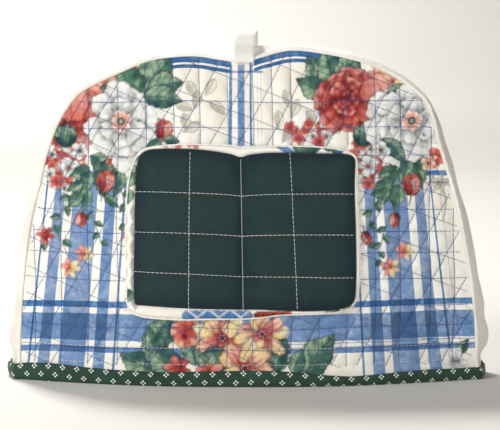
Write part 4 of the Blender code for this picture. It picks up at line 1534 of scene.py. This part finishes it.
    def flat_size(self) -> tuple[float, float, float]:
        """Width, height and area of the flat cut: the dome's box, and its area by the shoelace rule."""
        x, z = self.form.seam[:, 0], self.form.seam[:, 1]
        area = abs((x * np.roll(z, -1) - z * np.roll(x, -1)).sum()) / 2
        return float(np.ptp(x)) * 1.03, float(np.ptp(z)) * 1.03, float(area) * 1.05


@dataclass
class SideStrip:
    """The soft white strip that joins the panels over the dome."""

    form: CosyForm
    gap: float = 0.05 * MM
    thickness: float = 2.6 * MM
    stations: int = 460
    across: int = 26
    rounding: int = 5
    # How far it rounds out past the seam: share of the way along the seam, mm
    bulges: Points = (
        (0, 5), (0.018, 5), (0.03, 7.6), (0.04, 8), (0.05, 7.5), (0.0625, 6.6), (0.075, 5.3),
        (0.09, 4.3), (0.13, 5.1), (0.17, 4.3), (0.205, 5.2), (0.24, 4.3), (0.27, 4.7), (0.29, 4),
        (0.31, 2.4), (0.33, 1.7), (0.37, 1.3), (0.39, 0.5), (0.41, 1.7), (0.45, 2.4), (0.475, 4.6),
        (0.49, 6), (0.5, 6.2), (0.5125, 5.5), (0.525, 3.5), (0.54, 1.8), (0.56, 1.4), (0.6, 2),
        (0.65, 1.5), (0.69, 1.9), (0.71, 2.2), (0.735, 4.3), (0.76, 4.6), (0.79, 4.3), (0.83, 4.9),
        (0.86, 5.4), (0.89, 6.6), (0.92, 7.2), (0.945, 8.1), (0.96, 9.2), (0.97, 9.6), (0.982, 3.5),
        (1, 3.5),
    )
    # Soft creases: share of the way, how far they lean over the strip's width, depth in mm, width as a share
    creases: Sequence[tuple[float, float, float, float]] = (
        (0.028, 0.006, 1.5, 0.008), (0.060, -0.010, 0.9, 0.012), (0.115, 0.012, 0.6, 0.014),
        (0.215, -0.008, 0.5, 0.016), (0.300, 0.010, 0.6, 0.012), (0.470, 0.004, 0.9, 0.010),
        (0.700, -0.012, 0.6, 0.014), (0.800, 0.010, 0.5, 0.016), (0.900, -0.012, 0.7, 0.014),
        (0.942, 0.012, 1.4, 0.010), (0.972, -0.006, 1.8, 0.008),
    )

    def bulge(self, share: Array) -> Array:
        """How far the strip's middle stands out, in metres."""
        table = np.array(self.bulges)
        return np.interp(share, table[:, 0], table[:, 1]) * MM

    def out(self, share: Array, t: Array) -> Array:
        """Outer face past the seam at share and at t across: the bulge times 1 - t^2, with creases."""
        round_over = 1 - t * t
        total = self.gap + self.thickness + self.bulge(share) * round_over
        for place, lean, depth, width in self.creases:
            far = (share - place - lean * t) / width
            total = total - depth * MM * np.exp(-far * far) * (0.35 + 0.65 * round_over)
        pucker = 0.22 * MM * np.sin(share * 2 * pi * 78) * np.abs(t) ** 6
        return total + pucker + 0.45 * MM * mottle(share * 640, t * 20, 26, 6) * (0.3 + 0.7 * round_over)

    def build(self, finishes: Finishes) -> Object:
        """Makes the strip: a section runs over the outer face, round one edge, back, and round the other."""
        seam = evenly(self.form.seam, self.stations - 1)
        normal = left_normals(seam, False)
        share, t = np.meshgrid(
            np.linspace(0, 1, self.stations), np.linspace(-1, 1, self.across), indexing="ij"
        )
        outer = self.out(share, t)
        inner = self.gap + self.bulge(share) * (1 - t**2)
        half = self.form.strip_width / 2
        turn = np.linspace(0, pi, self.rounding + 2)[None, 1:-1]
        middle, radius = (outer + inner) / 2, (outer - inner) / 2
        right, left = (
            middle[:, end, None] + radius[:, end, None] * np.cos(turn) * sign
            for end, sign in ((-1, 1), (0, -1))
        )
        edge = half + 0.7 * MM * np.sin(turn) * np.ones_like(right)
        out = np.concatenate([outer, right, inner[:, ::-1], left], axis=1)
        y = np.concatenate([t * half, edge, t[:, ::-1] * half, -edge], axis=1)
        x, z = (seam[:, None, k] + normal[:, None, k] * out for k in range(2))
        piece = sweep("white_side_strip", np.stack([x, y, z], axis=-1) + self.form.shift, cyclic=False)
        return piece.build(finishes["white"], sharp=70)

    def flat_size(self) -> tuple[float, float]:
        """Width and length of the flat cut."""
        return self.form.strip_width * 1.06, float(arc_lengths(self.form.seam)[-1]) * 1.02


@dataclass
class HemBinding:
    """The dotted green strip folded over the lower edge all round."""

    form: CosyForm
    strip: SideStrip
    wave: float = 0.25 * MM
    cloth: float = 1.5 * MM
    swell: float = 1.0 * MM
    floor: float = 2.0 * MM
    ease: float = 0.5 * MM
    inner_ease: float = 0.8 * MM
    wall: float = 3.0 * MM
    level: float = 6 * MM
    corner: float = 2 * MM
    stations: int = 760
    # Height along the hem: x, mm
    tops: Points = (
        (-172, 10.8), (-165, 11.6), (-158, 12.6), (-140, 13), (-120, 11.6), (-88, 10), (-70, 10),
        (-35, 11), (1, 11.8), (20, 10.9), (37, 9.6), (56, 7.8), (70, 6.6), (82, 7), (94, 8), (106, 8.8),
        (127, 9), (141, 8.6), (156, 8.6), (166, 8.4), (172, 8.2),
    )

    def path(self) -> Array:
        """Outer line of the wall over the floor, anticlockwise from above, as in the solids."""
        seam, level = self.form.seam, self.level
        left = float(np.interp(level, seam[:100, 1], seam[:100, 0])) + self.corner
        right = float(np.interp(level, seam[::-1][:100, 1], seam[::-1][:100, 0])) - self.corner
        x = np.linspace(left, right, 120)
        z = np.full_like(x, level)
        t = np.linspace(-1, 1, 14)
        half = self.form.strip_width / 2
        wall = self.corner + 2.8 * MM
        bulges = self.strip.bulge(np.array([0, 1]))
        front = np.column_stack([x, -self.form.stand_out(FRONT, x, z)])
        back = np.column_stack([x[::-1], self.form.stand_out(BACK, x[::-1], z)])
        right_end = np.column_stack([right + wall + bulges[1] * (1 - t * t), t * half])
        left_end = np.column_stack([left - wall - bulges[0] * (1 - t * t), -t * half])
        path = evenly(np.vstack([front, right_end, back, left_end]), self.stations, cyclic=True)
        middle_of_back = int(np.argmin(np.abs(path[:, 0]) - path[:, 1]))
        return np.roll(path, -middle_of_back, axis=0)

    def normals(self, path: Array) -> Array:
        """Outward normals, softened over a few stations and lengthened at the corners."""
        along = np.roll(path, -2, axis=0) - np.roll(path, 2, axis=0)
        along /= np.linalg.norm(along, axis=1)[:, None]
        out = np.column_stack([along[:, 1], -along[:, 0]])
        soft = sum(np.roll(out, k, axis=0) for k in range(-3, 4)) / 7
        return soft / (soft**2).sum(axis=1)[:, None]

    def build(self, finishes: Finishes) -> Object:
        """Makes the binding: outer leaf, top edge, channel for the wall, inner leaf, flat foot."""
        path = self.path()
        normal = self.normals(path)
        x, y = path[:, 0], path[:, 1]
        along = arc_lengths(np.vstack([path, path[:1]]))[:-1]
        wave = np.sin(x / (21 * MM)) + 0.6 * np.sin(x / (8.5 * MM) + y / (30 * MM))
        tops = np.array(self.tops) * MM
        top = np.interp(x, tops[:, 0], tops[:, 1]) + self.wave * wave
        pucker = 0.42 * MM * np.sin(along / (1.9 * MM)) * (1 + 0.6 * np.sin(along / (23 * MM)))
        pucker = pucker + 0.40 * MM * mottle(along / MM, 0 * along, 6, 17)
        slack = 0.5 * MM * mottle(along / MM, 0 * along, 38, 21)
        out, inner = self.ease + self.cloth, -self.wall - self.inner_ease
        leaf = np.linspace(0, 1, 9)[1:-1]
        # How far out and how high each of the section's points lies, from the foot up and over
        section = [(out - 0.9 * MM, 0), (out - 0.25 * MM, 0.35 * MM)]
        for a in leaf:
            full = out + self.swell * sin(pi * a**0.9) + slack * sin(pi * a) + pucker * a**3
            section.append((full, 0.9 * MM + (top - 1.7 * MM) * a))
        section += [
            (out - 0.25 * MM + pucker, top - 0.5 * MM), (self.ease + 0.45 * MM, top),
            (self.ease + 0.1 * MM, top - 0.35 * MM), (self.ease, self.floor), (inner, self.floor),
            (inner, top - 0.9 * MM), (inner - 0.6 * MM, top - 0.5 * MM), (inner - self.cloth, top - 1.3 * MM),
            (inner - self.cloth, 0.9 * MM), (inner - self.cloth + 0.8 * MM, 0),
        ]
        n, z = (np.stack([one * np.ones_like(top) for one in part], axis=1) for part in zip(*section))
        x, y = (path[:, k, None] + normal[:, k, None] * n for k in range(2))
        points = np.stack([x, y, z], axis=-1)
        around = np.cumsum(np.linalg.norm(np.diff(points, axis=1, prepend=points[:, :1]), axis=2), axis=1)
        piece = sweep(
            "dotted_hem_binding",
            points + self.form.shift * np.array([1, 1, 0]),
            cyclic=True,
            along_mm=np.repeat(along[:, None], n.shape[1], axis=1) / MM,
            around_mm=(around[:, [len(leaf) + 3]] - around) / MM,
        )
        return piece.build(finishes["dotted"], sharp=60)

    def flat_size(self) -> tuple[float, float]:
        """Width and length of the flat strip: over both leaves and the foot, and once round."""
        path = self.path()
        return 30 * MM, float(arc_lengths(np.vstack([path, path[:1]]))[-1])


@dataclass
class GreenPatch:
    """The padded patch on the front, stitched in a grid."""

    form: CosyForm
    shape: PatchForm
    columns: int = 212
    rows: int = 156

    def surface(self, x: Array, z: Array) -> Array:
        """Points of the outer face."""
        return self.form.place(FRONT, x, z, self.shape.lift(x, z))

    def sewn_surface(self, x: Array, z: Array) -> Array:
        """Points that a thread lies on."""
        return self.form.place(FRONT, x, z, shallow(self.shape.lift, x, z))

    def flat_grid(self) -> Array:
        """x and z over the patch, between its four sides."""
        path = self.shape.inner
        starts = [row * self.shape.per_span for row in PATCH_CORNERS]
        ends = [*starts[1:], starts[0] + len(path)]
        bottom, right, top, left = (
            evenly(np.vstack([path, path])[a : b + 1], count - 1)
            for a, b, count in zip(starts, ends, (self.columns, self.rows) * 2)
        )
        return coons_grid(bottom, top[::-1], left[::-1], right)

    def build(self, finishes: Finishes) -> Object:
        """Makes the patch: outer face, flat back, and the edge between them."""
        grid = self.flat_grid()
        x, z = grid[..., 0], grid[..., 1]
        lift = self.shape.lift(x, z)
        outer = self.form.place(FRONT, x, z, lift)
        back = self.form.place(FRONT, x, z, np.full_like(lift, self.shape.seat))
        count = self.rows * self.columns
        edge = np.concatenate([
            np.arange(self.columns),
            np.arange(2, self.rows) * self.columns - 1,
            np.arange(count - 1, count - self.columns - 1, -1),
            np.arange(self.rows - 2, 0, -1) * self.columns,
        ])
        after = np.roll(edge, -1)
        rim = np.column_stack([after, edge, edge + count, after + count])
        face = quads(self.rows, self.columns)
        swell = (lift - self.shape.seat - self.shape.edge) / (self.shape.crown + self.shape.puff)
        points = np.vstack([outer.reshape(-1, 3), back.reshape(-1, 3)])
        swells = {"swell": np.concatenate([swell.ravel(), np.zeros(count)])}
        piece = Piece("green_patch", points, [face, face[:, ::-1] + count, rim], attributes=swells)
        return piece.build(finishes["twill"], sharp=60)

    def within(self, x: Array, z: Array) -> Array:
        """True on the patch, short of its edge."""
        low, high = self.shape.inner.min(axis=0), self.shape.inner.max(axis=0)
        start, stop = (PATCH_CORNERS[k] * self.shape.per_span for k in (2, 3))
        path = self.shape.inner[start:stop][::-1]
        top = np.interp(x, path[:, 0], path[:, 1])
        inside = (x > low[0] + 0.9 * MM) & (x < high[0] - 0.9 * MM) & (z > low[1] + 0.8 * MM)
        return inside & (z < top - 0.4 * MM)

    def sew(self, white: Material) -> list[Object]:
        """Sews the grid in white, and the middle seam in tighter stitches."""
        z = np.linspace(45 * MM, 172 * MM, 300)
        x = np.linspace(-86 * MM, 78 * MM, 400)
        lines = [(self.shape.upright(z, row), z) for row in (0, 2)]
        lines += [(x, self.shape.level(x, row)) for row in range(3)]
        seam = [(self.shape.upright(z, 1), z)]
        where = self.sewn_surface, self.within, white
        return [
            sewn("patch_grid_stitches", StitchRow(2.6 * MM, 0.5 * MM, 0.24 * MM, 1.3), lines, *where),
            sewn("patch_middle_stitches", StitchRow(1.15 * MM, 0.35 * MM, 0.3 * MM, 1.5), seam, *where),
        ]


@dataclass
class PatchBinding:
    """The rolled strip round the patch, with a thin corded edge."""

    form: CosyForm
    shape: PatchForm
    stations: int = 620
    height: float = 3.3 * MM
    cord: float = 0.75 * MM

    def build(self, finishes: Finishes) -> Object:
        """Makes the binding: a half-round roll across, then the small cord at its outer edge."""
        edges = [np.vstack([edge, edge[:1]]) for edge in (self.shape.inner, self.shape.outer)]
        lengths = arc_lengths(sum(edges) / 2)
        wanted = np.linspace(0, lengths[-1], self.stations + 1)[:-1]
        inner, outer = (
            np.column_stack([np.interp(wanted, lengths, edge[:, k]) for k in range(2)]) for edge in edges
        )
        away = outer - inner
        width = np.linalg.norm(away, axis=1)
        inner = inner + away / width[:, None] * self.shape.seat
        away = outer - inner
        turn = np.linspace(pi, 0, 10)
        roll = (1 - self.cord * 1.6 / np.maximum(width, 3 * MM))[:, None] * (1 + np.cos(turn))[None] / 2
        wrinkle = 0.32 * MM * mottle(wanted / MM, 0 * wanted, 11, 31)
        height = np.minimum(self.height, 0.9 * MM + 0.42 * width) + wrinkle
        roll_z = height[:, None] * np.sin(turn)[None] ** 0.7
        roll_z[:, 0], roll_z[:, -1] = 1.6 * MM, 0.7 * MM
        bead = np.linspace(pi * 0.8, 0, 6)
        share = (self.cord / width)[:, None]
        bead_x = 1 - share + share * np.cos(bead)[None]
        bead_z = self.cord * (1 + np.sin(bead))[None] * np.ones_like(share)
        zero = np.zeros_like(share)
        across = np.concatenate([zero, roll, bead_x, zero + 1], axis=1)
        up = np.concatenate([zero, roll_z, bead_z, zero], axis=1)
        x, z = (inner[:, None, k] + away[:, None, k] * across for k in range(2))
        corded = np.broadcast_to(np.arange(across.shape[1]) > len(turn), across.shape)
        piece = sweep(
            "patch_rolled_binding",
            self.form.place(FRONT, x, z, self.shape.seat + up),
            cyclic=True,
            print_ink=self.inked(x, z, corded),
            seam_distance=np.full_like(x, 60),
        )
        return piece.build(finishes["scrap"], sharp=75)

    def inked(self, x: Array, z: Array, corded: Array) -> Array:
        """Bits of the print that the strip was cut across: petals, leaves, slanting blue and a white cord."""
        canvas = Canvas(x.ravel() / MM, z.ravel() / MM)
        printer = FlowerPrinter(canvas)
        for k, spot in enumerate(((-58, 168), (-53, 169), (-49, 167), (-41, 168), (-37, 167), (-86, 131))):
            printer.blossom(*spot, 2.5, PINK, k, Ink.CORAL)
        for k, row in enumerate((
            (-82, 165, 265, 14), (-84, 156, 280, 13), (-81, 149, 250, 13), (-85, 138, 275, 12),
            (-82, 68, 245, 11), (38, 164, 8, 13), (50, 167, -4, 13), (30, 166, -10, 13), (57, 163, 12, 10),
            (52, 50, 15, 12), (64, 52, 5, 10),
        )):
            printer.leaf(*row, 4.4, k, TEAL_LEAF if k % 2 else GREEN_LEAF)
        for k in range(11):
            printer.leaf(-80 - 6 * (k % 2), 126 - 6 * k, 262 + 14 * (-1) ** k, 13, 3.2, k, DAMASK, 0, 0.7)
        for cx in range(-42, 1, 5):
            printer.disc(cx, 49.5, 4.6, Ink.BLUE, 0.9)
        slants = [(24, 165, 148, 2.6, Ink.BLUE), (63, 163, 60, 2.4, Ink.BLUE)]
        slants += [(cx, 49, angle, 0.8, Ink.CREAM) for cx in (-36, -21, -6) for angle in (38, 142)]
        for cx, cz, angle, half, tone in slants:
            points = canvas.near(cx, cz, 9)
            a, b = canvas.turned(points, cx, cz, radians(angle))
            share = unit((half - np.abs(b)) / 0.6) * (np.abs(a) < 9)
            canvas.lay(points, tone.rgb[None], share * 0.9)
        for cx in (3, 9, 15, 21):
            printer.petal(cx, 50, 0.1, 9, 3, RED, cx)
        white = np.append(Ink.CREAM.rgb, 1)
        return np.where(corded.ravel()[:, None], white, canvas.values()).reshape(*x.shape, 4)


@dataclass
class HangingLoop:
    """The white tape that spans the top."""

    form: CosyForm
    left: float = -10.6 * MM
    right: float = 3.4 * MM
    lean: float = 2.8 * MM
    thickness: float = 1.6 * MM
    stations: int = 150
    # Middle of the tape from the front panel over the top to the back: y, z in mm
    path: Points = (
        (-21.9, 224.6), (-21.7, 227.4), (-21.6, 230.2), (-24.2, 234.6), (-27, 239), (-25, 243.4),
        (-18, 245), (0, 246.2), (18, 245.4), (23.2, 243.4), (24.8, 239.6), (23.8, 235.2),
        (22.2, 230.6), (21.8, 227.4), (21.9, 224.6),
    )

    def build(self, finishes: Finishes) -> Object:
        """Makes the tape: a flat section with rounded edges along the path."""
        line = evenly(smooth_path(np.array(self.path) * MM, False), self.stations - 1)
        normal = left_normals(line, False)
        along = arc_lengths(line)
        middle, half = (self.left + self.right) / 2, (self.right - self.left) / 2
        r = self.thickness / 2
        flat = np.linspace(-(half - r), half - r, 12)
        turn = np.linspace(pi / 2, -pi / 2, 5)[1:-1]
        edge = half - r + r * np.cos(turn)
        across = np.concatenate([flat, edge, flat[::-1], -edge])
        out = np.concatenate([np.full(12, r), r * np.sin(turn), np.full(12, -r), -r * np.sin(turn)])
        dent = 0.5 * MM * np.exp(-(((along - 0.024) / 0.004) ** 2))[:, None] * np.cos(across / half * 2.2)
        lean = self.lean * fade(along / along[-1], 0.08, 0.42)[:, None]
        out = out[None] + dent * 0.5
        y, z = (line[:, None, k] + normal[:, None, k] * out for k in range(2))
        piece = sweep(
            "white_tape_loop",
            np.stack([middle + across[None] + lean, y, z], axis=-1) + self.form.shift,
            cyclic=False,
            across_mm=np.repeat(across[None] / MM, len(line), axis=0),
            along_mm=np.repeat(along[:, None] / MM, len(across), axis=1),
        )
        return piece.build(finishes["tape"], sharp=60)

    def flat_size(self) -> tuple[float, float]:
        """Width and length of the flat tape."""
        return self.right - self.left, float(arc_lengths(smooth_path(np.array(self.path) * MM, False))[-1])


# The studio


@dataclass(frozen=True)
class Studio:
    """A plain pale floor that curves up behind, soft light from the upper left, and the camera."""

    width_px: int = 500
    focal_px: float = 2241.0
    distance: float = 1.6
    elevation: float = 6.0
    target: tuple[float, float, float] = (1.05 * MM, 0.42 * MM, 115 * MM)
    floor: str = "E6E2DB"

    def stand(self, name: str, data: bpy.types.ID, place: Sequence, aim: Sequence) -> Object:
        """Puts a camera or a lamp at a place, aimed at another."""
        made = bpy.data.objects.new(name, data)
        bpy.context.scene.collection.objects.link(made)
        made.location = place
        made.rotation_euler = (Vector(aim) - made.location).to_track_quat("-Z", "Y").to_euler()
        return made

    def camera(self) -> None:
        """Stands the camera at the photograph's angle."""
        data = bpy.data.cameras.new("camera")
        data.sensor_width = 36
        data.lens = self.focal_px * data.sensor_width / self.width_px
        rise = radians(self.elevation)
        place = Vector(self.target) + Vector((0, -cos(rise), sin(rise))) * self.distance
        bpy.context.scene.camera = self.stand("camera", data, place, self.target)

    def lamp(self, name: str, place: Sequence, size: float, power: float, tint: str, aim: Sequence) -> None:
        """One square soft light."""
        data = bpy.data.lights.new(name, "AREA")
        data.shape = "SQUARE"
        data.size = size
        data.energy = power
        data.color = linear(tint).tolist()
        self.stand(name, data, place, aim)

    def sweep_floor(self) -> None:
        """Floor and backdrop in one: level, a quarter circle, then upright."""
        turn = np.linspace(0, pi / 2, 24)
        radius, back, far = 1, 3.4, 3.4
        y = np.concatenate([[-far], back + radius * np.sin(turn), [back + radius]])
        z = np.concatenate([[0], radius * (1 - np.cos(turn)), [3.5]])
        x = np.array([-5, 5])
        points = np.stack(np.broadcast_arrays(x[None, :], y[:, None], z[:, None]), axis=-1)
        graph = Graph("pale_paper")
        tone = graph.noise(3, 2)
        base = linear(self.floor)
        inputs = graph.shader.inputs
        graph.feed(inputs["Base Color"], graph.mix(tone.rises(0.3, 0.7) * 0.3, base, base * 0.97))
        inputs["Roughness"].default_value = 0.9
        inputs["Specular IOR Level"].default_value = 0.1
        piece = Piece("floor", points.reshape(-1, 3), [quads(len(y), 2)])
        piece.build(graph.material, closed=False)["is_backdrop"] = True

    def light(self) -> None:
        """A key from the left, a fill from the front, a lamp from above, and pale surroundings."""
        self.lamp("key", (-1.4, -1.25, 1.15), 0.8, 22, "FFFEFB", self.target)
        self.lamp("fill", (0.15, -2.8, 0.4), 1.2, 32, "F8FAFF", self.target)
        self.lamp("top", (-0.5, 0.9, 1.75), 0.4, 34, "FFFFFF", self.target)
        self.lamp("backdrop", (-1.5, 3.3, 2), 1.8, 84, "FFFFFF", (-1.2, 4, 0.2))
        world = bpy.data.worlds.new("studio")
        world.use_nodes = True
        inputs = world.node_tree.nodes["Background"].inputs
        inputs["Color"].default_value = (1, 0.985, 0.97, 1)
        inputs["Strength"].default_value = 0.20
        bpy.context.scene.world = world
        bpy.context.scene.view_settings.view_transform = "Standard"

    def build(self) -> None:
        """Sets everything up."""
        self.camera()
        self.sweep_floor()
        self.light()


def settle(made: Object, slot: str, *stands_for: str) -> Object:
    """Gives a finished piece to the cosy's body, hides the solids it stands for, and reports it."""
    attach(made, "root")
    if stands_for:
        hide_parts(*stands_for)
    log.info("%s: %d faces", made.name, len(made.data.polygons))
    return made


def corners(bounds: Sequence) -> list[list[float]]:
    """A box as plain lists of numbers."""
    return [[float(value) for value in corner] for corner in bounds]


def main() -> None:
    """Builds the cosy piece by piece, then the studio round it."""
    logging.basicConfig(level=logging.INFO, format="%(name)s %(message)s")
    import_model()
    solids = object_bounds()
    form, shape = CosyForm(), PatchForm()
    finishes = {
        "print": PrintedCotton().material(),
        "scrap": PrintedCotton(name="printed_cotton_bias", plaid=False).material(),
        "white": PlainCotton().material(),
        "tape": HerringboneTape().material(),
        "dotted": DottedCotton().material(),
        "twill": GreenTwill().material(),
        "blue_thread": Thread("blue_thread", Ink.THREAD_BLUE, Ink.PALE_BLUE).material(),
        "white_thread": Thread("white_thread", Ink.WHITE, Ink.SOFT_GREY).material(),
    }
    Studio().build()

    front = QuiltedPanel("quilted_front", FRONT, form, 401, 281, 10, patch=shape)
    back = QuiltedPanel("quilted_back", BACK, form, 301, 211, 10)
    wide, tall, area = front.flat_size()
    threads = finishes["blue_thread"], finishes["white_thread"]
    for panel, node in ((front, "front_panel"), (back, "back_panel")):
        made = settle(panel.build(finishes), "printed_cotton", node)
        sewn_on = [settle(thread, "printed_cotton") for thread in panel.sew(*threads)]

    strip = SideStrip(form)
    made = settle(strip.build(finishes), "white_cotton", "side_strip")
    strip.flat_size()

    hem = HemBinding(form, strip)
    made = settle(hem.build(finishes), "green_dotted_cotton", "hem_binding")
    hem.flat_size()

    patch = GreenPatch(form, shape)
    made = settle(patch.build(finishes), "dark_green_cotton", "patch")
    for thread in patch.sew(finishes["white_thread"]):
        settle(thread, "white_cotton")

    made = settle(PatchBinding(form, shape).build(finishes), "printed_cotton", "patch_binding")

    loop = HangingLoop(form)
    made = settle(loop.build(finishes), "white_cotton", "hanging_loop")
    loop.flat_size()

    {"solids": corners(solids), "looks": corners(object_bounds())}


if __name__ == "__main__":
    main()
